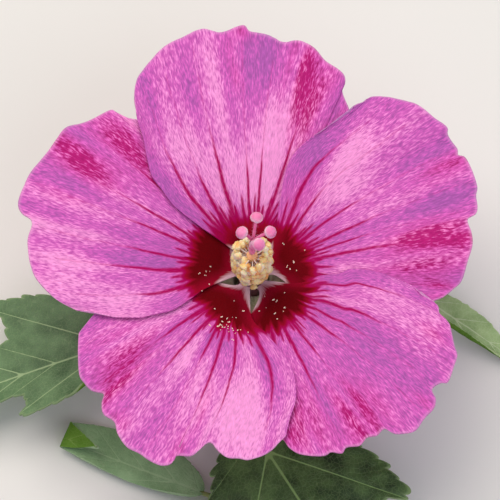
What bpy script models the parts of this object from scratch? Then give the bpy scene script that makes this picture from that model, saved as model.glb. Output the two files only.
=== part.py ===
"""A cut flowering shoot of rose of sharon, lying on a level surface with its bloom facing up.

The stem lies on the surface, the flower stalk rises from it, and the calyx on the stalk holds five
lapped petals round the staminal column. Four lobed leaves spring from the stem and droop to the surface.
"""

import math

import bmesh
import bpy
import numpy as np
from mathutils import Matrix, Vector

MM = 0.001
GAP = 0.3 * MM
GOLDEN_TURN = math.radians(137.508)

# The bloom faces straight up. Outlines are written as they look from a point tilted off its axis towards -Y
VIEW_TILT = math.radians(20)
VIEW_DISTANCE = 600 * MM
THROAT_HEIGHT = 30 * MM

# Petals. A margin and a lapping edge are rows of (clock angle, reach in mm) as seen from the viewing side:
# the margin goes clockwise, and the lapping edge, which lies on the next petal, goes out from the throat
PETALS = {
    "petal_top": {
        "centre": 2,
        "edge_spread": 0.47,
        "lapping_edge": ((-44, 10.6), (-48, 16.6), (-49, 23.5), (-45.6, 32.4), (-39, 39.8)),
        "margin": ((-37, 44), (-31, 52), (-24, 55), (-14, 57), (-7, 56), (-2, 57), (5, 55), (8, 54),
                   (13, 54.5), (20, 51.5), (26, 48), (31, 43.5), (37, 39), (43, 34)),
    },
    "petal_right": {
        "centre": 72,
        "edge_spread": 0.46,
        "lapping_edge": ((30, 10.4), (22, 16.6), (18, 24.6), (20, 30.4), (27, 37.3)),
        "margin": ((31, 43.5), (34, 49), (38, 51.5), (45, 54.5), (53, 56), (61, 55.5), (68, 55.5), (73, 54),
                   (76, 51), (81, 51.5), (87, 49.5), (94, 46.5), (98, 42), (104, 38), (112, 33)),
    },
    "petal_lower_right": {
        "centre": 140,
        "edge_spread": 0.58,
        "lapping_edge": ((101.7, 10.8), (91.7, 15.6), (87, 23), (90.8, 31.7), (94, 36.3)),
        "margin": ((97, 39), (102, 45), (109, 49.5), (116, 51.5), (121, 49.5), (125, 51.5), (133, 52),
                   (139, 48.5), (146, 46.5), (153, 46), (161, 44.5), (168, 40), (176, 35), (184, 30)),
    },
    "petal_lower_left": {
        "centre": 210,
        "edge_spread": 0.47,
        "lapping_edge": ((180, 10.1), (166.7, 14), (157, 23.5), (161, 31), (165.5, 34.7)),
        "margin": ((168, 38), (174, 41), (181, 43), (188, 42), (193, 40), (197, 43), (203, 47), (209, 49),
                   (216, 49), (223, 46.5), (231, 44), (236, 46), (243, 45), (251, 41), (257, 36), (264, 30)),
    },
    "petal_left": {
        "centre": 285,
        "edge_spread": 0.44,
        "lapping_edge": ((252.7, 10.8), (245.4, 20.2), (248.5, 27.8), (254.5, 35.4)),
        "margin": ((257, 38.5), (261, 44), (267, 49), (274, 51.5), (282, 52), (287, 55.5), (295, 56),
                   (303, 54.5), (310, 53), (316, 50.5), (323, 44.5), (329, 40.5), (336, 35)),
    },
}
PETAL_THICKNESS = 0.6 * MM
PETAL_ROWS = 10
PETAL_COLUMNS = 17
CLAW_START = 3.2 * MM
CLAW_HALF_WIDTH = 1.3 * MM
CLAW_SHARE = 0.24
ROW_SPACING = 1.15
EDGE_BLEND = 1.5
CUP_START = 4 * MM
CUP_DEPTH = 15.5 * MM
CUP_LENGTH = 23 * MM
BLOOM_REACH = 56 * MM
HALF_PETAL = math.radians(47)
LAP_AT_THROAT = 0.9 * MM
LAP_AT_RIM = 1.7 * MM
FOLD_HEIGHT = 0.5 * MM
FOLDS_AROUND = (10, 17)

# Staminal column: the tube's axis as (height above the throat, lean towards -Y, radius)
COLUMN_TUBE = ((-10.7, 0, 3.1), (-7, 0, 3.3), (-2.5, 0, 2.6), (0, 0, 2.5), (3, 0.3, 1.8), (9, 0.9, 1.5))
COLUMN_TUBE += ((18, 1.9, 1.2),)
ANTHERS = 58
ANTHER_RADIUS = 0.85 * MM
ANTHER_LOW = 2.9 * MM
ANTHER_HIGH = 16.6 * MM
ANTHER_REACH_LOW = 4.1 * MM
ANTHER_REACH_HIGH = 3.8 * MM
ANTHER_SCATTER = 0.1
ANTHER_TILT_LOW = 0.15
ANTHER_TILT_HIGH = 0.65
FILAMENT_RADIUS = 0.22 * MM

# Styles: each stigma's place as (across, towards +Y, height above the throat)
STIGMAS = ((1.0, 3.5, 26.6), (-2.2, 0.2, 26.0), (4.0, 0.2, 26.4), (1.5, -2.6, 26.2), (0.7, -1.2, 23.0))
STIGMA_RADIUS = 1.4 * MM
STYLE_RADIUS = 0.38 * MM
STYLE_BEND = 0.9 * MM
BUNDLE_RADIUS = 0.8 * MM
BUNDLE_BACK = 0.4 * MM
BUNDLE_LEAN = (0.2 * MM, 1.1 * MM)
STYLE_START = 18.7 * MM
STYLE_FORK = 22 * MM

# Calyx: its wall's line as (reach from the axis, height above the throat), and the five lobes
CALYX_WALL = (
    (1.9, -14.5), (4.4, -13.6), (5.0, -9), (5.2, -3.6), (6.5, -1.1), (8.6, 0.2), (11.2, 1.6), (14.8, 3.2))
CALYX_SINUS = 0.6
SEPAL_POINT = 1.4
CALYX_THICKNESS = 0.9 * MM
CALYX_FLOOR = -11.2 * MM
CALYX_AROUND = 40
CALYX_ROWS = 6
WALL_STEP = 0.02
LOBES = 5

# Epicalyx: a thin disc under the calyx with narrow bracts
BRACTS = 7
FIRST_BRACT = 0.3
BRACT_LENGTH = 13 * MM
BRACT_WIDTH = 1.7 * MM
BRACT_THICKNESS = 0.6 * MM
BRACT_START = 1.6 * MM
BRACT_REACH = 0.72 * BRACT_LENGTH
BRACT_CLIMB = 0.6 * BRACT_LENGTH
BRACT_CURVE = 2.2
BRACT_SWELL = 0.8
BRACT_TAPER = 1.45
DISC_RADIUS = 2.5 * MM
DISC_THICKNESS = 0.8 * MM

# Stem and flower stalk
STEM_BUTT = Vector((9, -104)) * MM
STEM_TIP = Vector((-2, 17)) * MM
STEM_BUTT_RADIUS = 2.5 * MM
STEM_TIP_RADIUS = 1.6 * MM
STEM_BEND = 2.0 * MM
STEM_RINGS = 40
STEM_TIP_POINT = 0.5
NODE_SWELLING = 0.35 * MM
NODE_LENGTH = 2.5 * MM
STALK_RADIUS = 1.15 * MM
STALK_TOP_RADIUS = 1.6 * MM

# Leaves. A foot is a place as seen (across, up, height above the surface), and sides, fold and tip_height
# shape the blade from there: the left and right half's width and fall, and how high its tip lies
LEAVES = {
    "leaf_left": {
        "node": -14, "foot": (-27, -15, 15), "heading": 197, "size": 1.0, "sides": (0.42, 0.8),
        "tip_height": 0.6, "arch": 0.5, "fold": (-0.35, 0.1), "lobed": True,
    },
    "leaf_bottom": {
        "node": -25, "foot": (1, -37, 15), "heading": -57, "size": 1.0, "sides": (0.92, 1.05),
        "tip_height": 0.6, "arch": 1.5, "fold": (0.1, 0.12), "lobed": True,
    },
    "leaf_lower_left": {
        "node": -52, "foot": (-12, -50, 4.5), "heading": 156, "size": 0.5, "sides": (0.35, 0.85),
        "tip_height": 4, "arch": -1.5, "fold": (0.02, 0.02), "lobed": False,
    },
    "leaf_right": {
        "node": 4, "foot": (26, 2, 9), "heading": -31, "size": 0.62, "sides": (0.6, 0.2),
        "tip_height": 0.6, "arch": 1.5, "fold": (0.05, 0.05), "lobed": True,
    },
}
LEAF_LENGTH = 72
LEAF_THICKNESS = 0.8 * MM
LEAF_ROWS = 4
TEETH = 9
LEAFSTALK_RADIUS = 0.9 * MM
LEAFSTALK_RISE = 1.0 * MM
LEAFSTALK_JOIN = 0.12
DROOP = 1.4
ROW_BLEND = 0.8
# Half of a leaf of LEAF_LENGTH: (along the midrib, to the side), from the base round a side lobe to the tip
LOBED_HALF = ((-1.5, 1.2), (-2, 6), (1, 11), (6, 16), (13, 20.5), (21, 23.5), (29.5, 25), (28.5, 18))
LOBED_HALF += ((29, 11.5), (37, 12), (48, 12), (58, 8.5), (66, 4), (72, 0))
PLAIN_HALF = ((-1.5, 1.2), (0, 6), (6, 12), (15, 16.5), (28, 18), (42, 15.5), (55, 10.5), (65, 4.5), (72, 0))
TOOTH_OUT = 0.8
TOOTH_IN = -0.9
VEIN_SLANT = 1.1


def material(name, colour, roughness):
    """A plain Principled material, with its colour as linear red, green and blue."""
    made = bpy.data.materials.new(name)
    made.use_nodes = True
    shader = made.node_tree.nodes["Principled BSDF"]
    shader.inputs["Base Color"].default_value = (*colour, 1)
    shader.inputs["Roughness"].default_value = roughness
    shader.inputs["Metallic"].default_value = 0
    return made


def mesh_object(name, form, made_of, parent):
    """A smooth-shaded object from a bmesh, which is freed."""
    mesh = bpy.data.meshes.new(name)
    form.to_mesh(mesh)
    form.free()
    mesh.shade_smooth()
    mesh.materials.append(made_of)
    made = bpy.data.objects.new(name, mesh)
    bpy.context.scene.collection.objects.link(made)
    made.parent = parent
    return made


def smooth_line(points, count):
    """count points, evenly spaced, along a smooth curve through the given points."""
    points = [np.array(point, float) for point in points]
    line = []
    for i in range(len(points) - 1):
        before, start = points[max(i - 1, 0)], points[i]
        end, after = points[i + 1], points[min(i + 2, len(points) - 1)]
        for f in np.linspace(0, 1, 8, endpoint=False):
            slope = (end - before) * (f - 2 * f**2 + f**3) + (after - start) * (f**3 - f**2)
            line.append(start * (1 - 3 * f**2 + 2 * f**3) + end * (3 * f**2 - 2 * f**3) + slope / 2)
    line = np.array([*line, points[-1]])
    steps = np.linalg.norm(np.diff(line, axis=0), axis=1)
    length = np.concatenate([[0], np.cumsum(steps)])
    places = np.linspace(0, length[-1], count)
    return np.stack([np.interp(places, length, values) for values in line.T], axis=1)


def tube(points, radii, sides=8):
    """A closed limb of the given radii round a line of points."""
    form = bmesh.new()
    points = [Vector(point) for point in points]
    rings = []
    side = Vector((1, 0, 0))
    for i, (point, radius) in enumerate(zip(points, radii)):
        along = (points[min(i + 1, len(points) - 1)] - points[max(i - 1, 0)]).normalized()
        side = (side - along * side.dot(along)).normalized()
        if side.length < 0.5:
            side = along.orthogonal().normalized()
        up = along.cross(side)
        turns = [2 * math.pi * k / sides for k in range(sides)]
        spokes = [side * math.cos(turn) + up * math.sin(turn) for turn in turns]
        rings.append([form.verts.new(point + spoke * float(radius)) for spoke in spokes])
    for low, high in zip(rings, rings[1:]):
        for k in range(sides):
            form.faces.new((low[k - 1], low[k], high[k], high[k - 1]))
    form.faces.new(reversed(rings[0]))
    form.faces.new(rings[-1])
    return form


def plate(surface, thickness):
    """A closed plate of even thickness from an open surface, which lies at the plate's middle."""
    surface.normal_update()
    if sum(face.normal.z for face in surface.faces) < 0:
        bmesh.ops.reverse_faces(surface, faces=surface.faces)
    mesh = bpy.data.meshes.new("plate")
    surface.to_mesh(mesh)
    surface.free()
    sheet = bpy.data.objects.new("plate", mesh)
    bpy.context.scene.collection.objects.link(sheet)
    wall = sheet.modifiers.new("wall", "SOLIDIFY")
    wall.thickness = thickness
    wall.offset = 0
    evaluated = sheet.evaluated_get(bpy.context.evaluated_depsgraph_get())
    form = bmesh.new()
    form.from_mesh(evaluated.to_mesh())
    bpy.data.objects.remove(sheet)
    return form


def fused(name, forms, made_of, parent):
    """One closed body from forms that run into each other."""
    gathered = bpy.data.collections.new(name + " pieces")
    bpy.context.scene.collection.children.link(gathered)
    whole = mesh_object(name, forms[0], made_of, parent)
    for form in forms[1:]:
        piece = mesh_object(name + " piece", form, made_of, parent)
        bpy.context.scene.collection.objects.unlink(piece)
        gathered.objects.link(piece)
    union = whole.modifiers.new("union", "BOOLEAN")
    union.operation = "UNION"
    union.operand_type = "COLLECTION"
    union.collection = gathered
    union.solver = "EXACT"
    evaluated = whole.evaluated_get(bpy.context.evaluated_depsgraph_get())
    joined = bpy.data.meshes.new_from_object(evaluated)
    whole.modifiers.remove(union)
    whole.data = joined
    for piece in list(gathered.objects):
        bpy.data.objects.remove(piece)
    bpy.data.collections.remove(gathered)
    return whole


def seen_at(across, up, height):
    """The point at this height above the throat that looks this far across and up from the throat."""
    eye = VIEW_DISTANCE * Vector((0, -math.sin(VIEW_TILT), math.cos(VIEW_TILT)))
    looked_at = Vector((across, up * math.cos(VIEW_TILT), up * math.sin(VIEW_TILT)))
    return eye.lerp(looked_at, (height - eye.z) / (looked_at.z - eye.z))


def petal_height(clock, reach, centre):
    """Height of a petal's middle surface above the throat. Each petal's anticlockwise edge laps over its
    neighbour's clockwise edge, so the petal leans from one to the other."""
    cup = CUP_DEPTH * (1 - math.exp((CUP_START - reach) / CUP_LENGTH))
    share = reach / BLOOM_REACH
    folds = FOLD_HEIGHT * share**2 * sum(math.sin(count * clock) for count in FOLDS_AROUND)
    turn = (clock - centre + math.pi) % (2 * math.pi) - math.pi
    lap = LAP_AT_THROAT + (LAP_AT_RIM - LAP_AT_THROAT) * share
    return cup + folds - lap * turn / HALF_PETAL


def laid(clock, reach, centre):
    """Where on the cupped petal the point lies that is seen at this clock angle and reach."""
    across, up = reach * math.sin(clock), reach * math.cos(clock)
    point = seen_at(across, up, CUP_DEPTH)
    for _ in range(6):
        height = petal_height(math.atan2(point.x, point.y), point.xy.length, centre)
        point = seen_at(across, up, height)
    return point


def petal(name, centre, edge_spread, lapping_edge, margin, made_of, bloom):
    """One petal: a narrow claw at the throat, from which straight veins fan out to the margin."""
    centre = math.radians(centre)
    out = Vector((math.sin(centre), math.cos(centre)))
    clockwise = Vector((math.cos(centre), -math.sin(centre)))

    def from_throat(seen):
        points = [laid(math.radians(clock), reach * MM, centre).xy for clock, reach in seen]
        return [(point.dot(out), point.dot(clockwise)) for point in points]

    rim = smooth_line(from_throat(margin), PETAL_COLUMNS + 1)
    edge = smooth_line([(CLAW_START, -CLAW_HALF_WIDTH), *from_throat(lapping_edge), rim[0]], 60)
    edge_share = (edge[:, 0] - CLAW_START) / (rim[0, 0] - CLAW_START)

    form = bmesh.new()
    bmesh.ops.create_grid(form, x_segments=PETAL_COLUMNS, y_segments=PETAL_ROWS, size=0.5)
    for vert in form.verts:
        column = vert.co.x + 0.5
        far, side = rim[round(column * PETAL_COLUMNS)]
        share = (vert.co.y + 0.5) ** ROW_SPACING
        # The hidden edge keeps clear of the next petal's claw, so that a narrow gap is left beside it
        hidden_edge = share**edge_spread * (1 - math.exp(-((share / CLAW_SHARE) ** 2)))
        spread = share + (hidden_edge - share) * max(2 * column - 1, 0) ** EDGE_BLEND
        along = CLAW_START + (far - CLAW_START) * share
        sideways = side * spread + CLAW_HALF_WIDTH * (2 * column - 1) * (1 - spread)
        straight = rim[0, 1] * share - CLAW_HALF_WIDTH * (1 - share)
        bulge = np.interp(share, edge_share, edge[:, 1]) - straight
        sideways += bulge * max(1 - 2 * column, 0) ** EDGE_BLEND
        place = out * along + clockwise * sideways
        height = petal_height(math.atan2(place.x, place.y), place.length, centre)
        vert.co = (place.x, place.y, height)
    return mesh_object(name, plate(form, PETAL_THICKNESS), made_of, bloom)


def column_axis(height):
    """The point on the staminal column's axis at this height above the throat."""
    heights = [row[0] * MM for row in COLUMN_TUBE]
    leans = [row[1] * MM for row in COLUMN_TUBE]
    return Vector((0, -np.interp(height, heights, leans), height))


def ball(centre, radius, subdivisions):
    """A small ball, such as an anther or a stigma."""
    form = bmesh.new()
    place = Matrix.Translation(centre)
    bmesh.ops.create_icosphere(form, subdivisions=subdivisions, radius=radius, matrix=place)
    return form


def staminal_column(made_of, bloom):
    """A tube that stands in the calyx, with a spiral of anthers on short filaments round its upper part."""
    rings = smooth_line(COLUMN_TUBE, 12)
    forms = [tube([(0, -lean * MM, height * MM) for height, lean, _ in rings], rings[:, 2] * MM, 10)]
    for k in range(ANTHERS):
        share = (k + 0.5) / ANTHERS
        height = ANTHER_LOW + (ANTHER_HIGH - ANTHER_LOW) * share
        reach = ANTHER_REACH_LOW + (ANTHER_REACH_HIGH - ANTHER_REACH_LOW) * share**2
        tilt = ANTHER_TILT_LOW + (ANTHER_TILT_HIGH - ANTHER_TILT_LOW) * share**3
        outward = Vector((math.cos(k * GOLDEN_TURN), math.sin(k * GOLDEN_TURN), tilt))
        root = column_axis(height)
        tip = root + outward * reach * (1 + ANTHER_SCATTER * math.sin(3 * k * GOLDEN_TURN))
        forms.append(tube((root, tip), (FILAMENT_RADIUS, FILAMENT_RADIUS), 3))
        forms.append(ball(tip, ANTHER_RADIUS, 1))
    return fused("staminal_column", forms, made_of, bloom)


def styles(made_of, bloom):
    """Five hairy styles from one bundle at the column's tip, each with a round stigma."""
    foot = column_axis(STYLE_START)
    foot.y += BUNDLE_BACK
    fork = foot + Vector((*BUNDLE_LEAN, STYLE_FORK - STYLE_START))
    forms = [tube((foot, fork), (BUNDLE_RADIUS, BUNDLE_RADIUS), 8)]
    for across, towards, height in STIGMAS:
        stigma = Vector((across, towards, height)) * MM
        bend = fork.lerp(stigma, 0.45) + Vector((0, 0, STYLE_BEND))
        line = smooth_line((foot.lerp(fork, 0.5), fork, bend, stigma), 6)
        forms.append(tube(line, [STYLE_RADIUS] * len(line), 6))
        forms.append(ball(stigma, STIGMA_RADIUS, 2))
    return fused("styles", forms, made_of, bloom)


def calyx(made_of, bloom):
    """A cup with five pointed lobes, which show between the petals' claws."""
    wall = smooth_line(CALYX_WALL, 25)
    inner_steps = CALYX_ROWS - 1

    def wall_point(share):
        at = share * (len(wall) - 1)
        return Vector([np.interp(at, range(len(wall)), wall[:, k]) for k in (0, 1)]) * MM

    form = bmesh.new()
    rings = []
    for row in range(CALYX_ROWS + 1 + inner_steps):
        inner = row > CALYX_ROWS
        share = (2 * CALYX_ROWS - row + 0.5) / CALYX_ROWS if inner else row / CALYX_ROWS
        ring = []
        for k in range(CALYX_AROUND):
            turn = 2 * math.pi * k / CALYX_AROUND
            lobe = abs((LOBES * turn / math.pi) % 2 - 1)
            limit = CALYX_SINUS + (1 - CALYX_SINUS) * (1 - lobe) ** SEPAL_POINT
            place = wall_point(share * limit)
            if inner:
                ahead = wall_point(min(share * limit + WALL_STEP, 1)) - wall_point(share * limit - WALL_STEP)
                ahead.normalize()
                place += Vector((-ahead.y, ahead.x)) * CALYX_THICKNESS
                place.y = max(place.y, CALYX_FLOOR)
            ring.append(form.verts.new((place.x * math.sin(turn), place.x * math.cos(turn), place.y)))
        rings.append(ring)
    for low, high in zip(rings, rings[1:]):
        for k in range(CALYX_AROUND):
            form.faces.new((low[k], low[k - 1], high[k - 1], high[k]))
    form.faces.new(rings[0])
    form.faces.new(reversed(rings[-1]))
    return mesh_object("calyx", form, made_of, bloom)


def epicalyx(made_of, bloom):
    """A thin disc under the calyx with narrow bracts that curve up beside it."""
    top = CALYX_WALL[0][1] * MM - GAP
    foot = Vector((0, 0, top - DISC_THICKNESS))
    forms = [tube((foot, Vector((0, 0, top))), (DISC_RADIUS, DISC_RADIUS), 14)]
    for k in range(BRACTS):
        turn = Matrix.Rotation(2 * math.pi * (k + FIRST_BRACT) / BRACTS, 4, "Z")
        form = bmesh.new()
        bmesh.ops.create_grid(form, x_segments=2, y_segments=6, size=0.5)
        for vert in form.verts:
            share = vert.co.y + 0.5
            width = BRACT_WIDTH * (0.75 + BRACT_SWELL * share - BRACT_TAPER * share**3)
            reach = BRACT_START + BRACT_REACH * share
            climb = DISC_THICKNESS / 2 + BRACT_CLIMB * share**BRACT_CURVE
            vert.co = (vert.co.x * width, reach, foot.z + climb)
        bmesh.ops.transform(form, matrix=turn, verts=form.verts)
        forms.append(plate(form, BRACT_THICKNESS))
    return fused("epicalyx", forms, made_of, bloom)


def stem_at(y):
    """The stem's axis and radius at a place along it, lying on the surface."""
    share = (y - STEM_BUTT.y) / (STEM_TIP.y - STEM_BUTT.y)
    radius = STEM_BUTT_RADIUS + (STEM_TIP_RADIUS - STEM_BUTT_RADIUS) * share
    x = STEM_BUTT.x + (STEM_TIP.x - STEM_BUTT.x) * share + STEM_BEND * math.sin(math.pi * share)
    return Vector((x, y, radius + NODE_SWELLING)), radius


def stem(nodes, made_of, shoot):
    """A woody shoot with a clean cut across its butt, a little swollen at each node."""
    points, radii = [], []
    for share in np.linspace(0, 1, STEM_RINGS):
        y = STEM_BUTT.y + (STEM_TIP.y - STEM_BUTT.y) * share
        point, radius = stem_at(y)
        swelling = sum(math.exp(-(((y - node) / NODE_LENGTH) ** 2)) for node in nodes)
        points.append(point)
        radii.append(radius + NODE_SWELLING * swelling)
    radii[-1] *= STEM_TIP_POINT
    return mesh_object("stem", tube(points, radii, 10), made_of, shoot)


def leaf(name, node, foot, heading, size, sides, tip_height, arch, fold, lobed, made_of, shoot):
    """A toothed blade on a leafstalk that springs from one of the stem's nodes."""
    base = seen_at(foot[0] * MM, foot[1] * MM, foot[2] * MM - THROAT_HEIGHT)
    base.z = foot[2] * MM
    columns = 2 * TEETH
    rim = smooth_line(LOBED_HALF if lobed else PLAIN_HALF, columns + 1)
    slopes = np.gradient(rim, axis=0)
    outward = np.stack([-slopes[:, 1], slopes[:, 0]], axis=1)
    outward /= np.linalg.norm(outward, axis=1)[:, None]
    turned = Matrix.Rotation(math.radians(heading), 3, "Z")
    length = LEAF_LENGTH * size * MM

    def on_blade(x, y):
        share = min(max(x / length, 0), 1)
        sag = (base.z - tip_height * MM) * share**DROOP - arch * MM * math.sin(math.pi * share)
        slope = fold[0] if y > 0 else fold[1]
        return turned @ Vector((x, y, -sag - slope * abs(y))) + base

    form = bmesh.new()
    bmesh.ops.create_grid(form, x_segments=columns, y_segments=2 * LEAF_ROWS, size=1)
    for vert in form.verts:
        place = round((vert.co.x + 1) / 2 * columns)
        across = abs(vert.co.y) ** ROW_BLEND
        side = sides[0] if vert.co.y > 0 else -sides[1]
        tooth = TOOTH_OUT if place % 2 == 0 else TOOTH_IN
        margin = rim[place] + outward[place] * tooth * (0 < place < columns)
        root = max(rim[place][0] - VEIN_SLANT * rim[place][1], 0)
        x = root + (margin[0] - root) * across
        vert.co = on_blade(x * size * MM, margin[1] * across * side * size * MM)
    bmesh.ops.remove_doubles(form, verts=form.verts, dist=0.01 * MM)
    blade = plate(form, LEAF_THICKNESS)

    axis, radius = stem_at(node * MM)
    outward = (base - axis).normalized()
    start = axis + outward * (radius + NODE_SWELLING + GAP + LEAF_THICKNESS / 2)
    under = Vector((0, 0, -LEAF_THICKNESS / 2))
    middle = start.lerp(base, 0.5) + Vector((0, 0, LEAFSTALK_RISE))
    joins = [on_blade(share * length, 0) + under for share in (0, LEAFSTALK_JOIN)]
    line = smooth_line((start, middle, *joins), 7)
    stalk = tube(line, np.linspace(1, 0.6, len(line)) * LEAFSTALK_RADIUS, 6)
    return fused(name, [blade, stalk], made_of, shoot)


def flower_stalk(made_of, shoot):
    """The short stalk that carries the calyx, from the stem's node under the bloom."""
    axis, radius = stem_at(0)
    foot = Vector((axis.x, axis.y, axis.z + radius + NODE_SWELLING + GAP))
    top = Vector((0, 0, THROAT_HEIGHT + CALYX_WALL[0][1] * MM - DISC_THICKNESS - 2 * GAP))
    line = smooth_line((foot, foot.lerp(top, 0.5), top), 6)
    radii = np.linspace(STALK_RADIUS, STALK_TOP_RADIUS, len(line))
    return mesh_object("flower_stalk", tube(line, radii, 10), made_of, shoot)


def build():
    for left_over in list(bpy.data.objects):
        bpy.data.objects.remove(left_over)

    petal_pink = material("petal", (0.70, 0.20, 0.50), 0.55)
    anther_cream = material("anther", (0.85, 0.60, 0.32), 0.7)
    style_pink = material("style", (0.85, 0.16, 0.42), 0.5)
    calyx_green = material("calyx", (0.16, 0.24, 0.10), 0.6)
    bark = material("bark", (0.22, 0.17, 0.10), 0.8)
    leaf_green = material("leaf", (0.08, 0.15, 0.06), 0.5)

    shoot = bpy.data.objects.new("flowering_shoot", None)
    bpy.context.scene.collection.objects.link(shoot)
    bloom = bpy.data.objects.new("bloom", None)
    bpy.context.scene.collection.objects.link(bloom)
    bloom.parent = shoot
    bloom.location.z = THROAT_HEIGHT
    bpy.context.view_layer.update()

    for name, shape in PETALS.items():
        petal(name, **shape, made_of=petal_pink, bloom=bloom)
    staminal_column(anther_cream, bloom)
    styles(style_pink, bloom)
    calyx(calyx_green, bloom)
    epicalyx(calyx_green, bloom)
    flower_stalk(calyx_green, shoot)

    nodes = [leaf["node"] * MM for leaf in LEAVES.values()]
    stem((0, *nodes), bark, shoot)
    for name, shape in LEAVES.items():
        leaf(name, **shape, made_of=leaf_green, shoot=shoot)

    # The shoot's box stands centred over the origin, on the surface
    graph = bpy.context.evaluated_depsgraph_get()
    corners = []
    for made in bpy.data.objects:
        if made.type == "MESH":
            evaluated = made.evaluated_get(graph)
            corners += [evaluated.matrix_world @ Vector(corner) for corner in evaluated.bound_box]
    low = [min(corner[k] for corner in corners) for k in range(3)]
    high = [max(corner[k] for corner in corners) for k in range(3)]
    shoot.location = (-(low[0] + high[0]) / 2, -(low[1] + high[1]) / 2, -low[2])


build()
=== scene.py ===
import math

import bmesh
import bpy
import numpy as np
from mathutils import Matrix, Vector, noise


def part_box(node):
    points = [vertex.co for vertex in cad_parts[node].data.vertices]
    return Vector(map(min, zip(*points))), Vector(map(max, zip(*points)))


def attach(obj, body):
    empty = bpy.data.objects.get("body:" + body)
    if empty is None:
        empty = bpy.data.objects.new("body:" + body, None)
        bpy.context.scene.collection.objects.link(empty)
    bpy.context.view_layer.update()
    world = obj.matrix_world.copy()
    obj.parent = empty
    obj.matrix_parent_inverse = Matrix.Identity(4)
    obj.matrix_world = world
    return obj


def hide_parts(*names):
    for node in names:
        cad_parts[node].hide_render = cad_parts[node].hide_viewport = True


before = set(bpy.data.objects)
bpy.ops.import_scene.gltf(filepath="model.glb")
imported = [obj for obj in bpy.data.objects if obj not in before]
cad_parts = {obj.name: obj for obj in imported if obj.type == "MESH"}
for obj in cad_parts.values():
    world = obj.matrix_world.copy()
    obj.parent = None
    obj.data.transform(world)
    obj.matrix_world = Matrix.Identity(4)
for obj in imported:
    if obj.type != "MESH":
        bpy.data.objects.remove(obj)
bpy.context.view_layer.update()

MM = 0.001

# Stem
# The shoot of a rose of sharon is a thin woody rod, cut clean across its butt with secateurs. Its bark is
# grey-brown, ridged lengthwise and dotted with corky pores, and it swells at each node where a leaf springs.

# The calyx stands round the bloom's axis, so its box gives the throat, which everything is measured from
CALYX_REACH = 14.8 * MM
CALYX_DEPTH = 14.5 * MM
THROAT_HEIGHT = 30 * MM
calyx_low, calyx_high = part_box("calyx")
throat = Vector(((calyx_low.x + calyx_high.x) / 2, calyx_low.y + CALYX_REACH, calyx_low.z + CALYX_DEPTH))
ground = throat - Vector((0, 0, THROAT_HEIGHT))

STEM_BUTT = Vector((9, -104)) * MM
STEM_TIP = Vector((-2, 17)) * MM
STEM_BUTT_RADIUS = 2.5 * MM
STEM_TIP_RADIUS = 1.6 * MM
STEM_BEND = 2.0 * MM
NODE_SWELLING = 0.35 * MM
NODE_LENGTH = 2.5 * MM
# Where the bloom and each leaf spring from the stem, in mm along Y from below the throat
NODES = {"bloom": 0, "leaf_left": -14, "leaf_bottom": -25, "leaf_lower_left": -52, "leaf_right": 4}
BARK_RIDGE = 0.07 * MM
BARK_RIDGES_AROUND = 5
PORE_HEIGHT = 0.12 * MM
SCAR_WIDTH = 0.25 * MM
SCAR_DEPTH = 0.12 * MM
# How many ridges and pores follow each other along the stem, and how much of the bark is free of pores
RIDGES_ALONG = 14
PORES_ALONG = 95
PORE_SIZES_ALONG = 46
PORE_FREE = 0.32
TIP_ROUNDING = (0.85, 0.6)
STEM_RINGS = 420
STEM_SIDES = 56


def smooth_line(points, count):
    """count points, evenly spaced, along a smooth curve through the given points."""
    points = [np.array(point, float) for point in points]
    line = []
    for i in range(len(points) - 1):
        before, start = points[max(i - 1, 0)], points[i]
        end, after = points[i + 1], points[min(i + 2, len(points) - 1)]
        for f in np.linspace(0, 1, 8, endpoint=False):
            slope = (end - before) * (f - 2 * f**2 + f**3) + (after - start) * (f**3 - f**2)
            line.append(start * (1 - 3 * f**2 + 2 * f**3) + end * (3 * f**2 - 2 * f**3) + slope / 2)
    line = np.array([*line, points[-1]])
    steps = np.linalg.norm(np.diff(line, axis=0), axis=1)
    length = np.concatenate([[0], np.cumsum(steps)])
    places = np.linspace(0, length[-1], count)
    return np.stack([np.interp(places, length, values) for values in line.T], axis=1)


def rolled(around, along, place):
    """A closed skin, from a grid rolled up round a line. place gives a point by turn and share of length."""
    form = bmesh.new()
    form.loops.layers.uv.new("UVMap")
    bmesh.ops.create_grid(form, x_segments=around, y_segments=along, size=0.5, calc_uvs=True)
    for vert in form.verts:
        vert.co = place(2 * math.pi * (vert.co.x + 0.5), vert.co.y + 0.5)
    bmesh.ops.remove_doubles(form, verts=form.verts, dist=0.002 * MM)
    bmesh.ops.holes_fill(form, edges=form.edges)
    bmesh.ops.recalc_face_normals(form, faces=form.faces)
    return form


def limb(points, radii, around, roughen=None):
    """A round limb along a line of points, with rounded ends. roughen gives what is added to the radius."""
    points = [Vector(point) for point in points]
    last = len(points) - 1
    frames = []
    side = Vector((1, 0, 0.1))
    for i, point in enumerate(points):
        ahead = (points[min(i + 1, last)] - points[max(i - 1, 0)]).normalized()
        side = (side - ahead * side.dot(ahead)).normalized()
        frames.append((point, side.copy(), ahead.cross(side)))

    def place(turn, share):
        i = round(share * last)
        point, across, up = frames[i]
        radius = float(radii[i]) if 0 < i < last else 0.0
        if roughen and radius:
            radius += roughen(turn, share)
        return point + (across * math.cos(turn) + up * math.sin(turn)) * radius

    return rolled(around, last, place)


def shown(name, form, *materials):
    """A smooth piece made from a bmesh."""
    mesh = bpy.data.meshes.new(name)
    form.to_mesh(mesh)
    form.free()
    mesh.shade_smooth()
    for made_of in materials:
        mesh.materials.append(made_of)
    piece = bpy.data.objects.new(name, mesh)
    bpy.context.scene.collection.objects.link(piece)
    return piece


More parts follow.
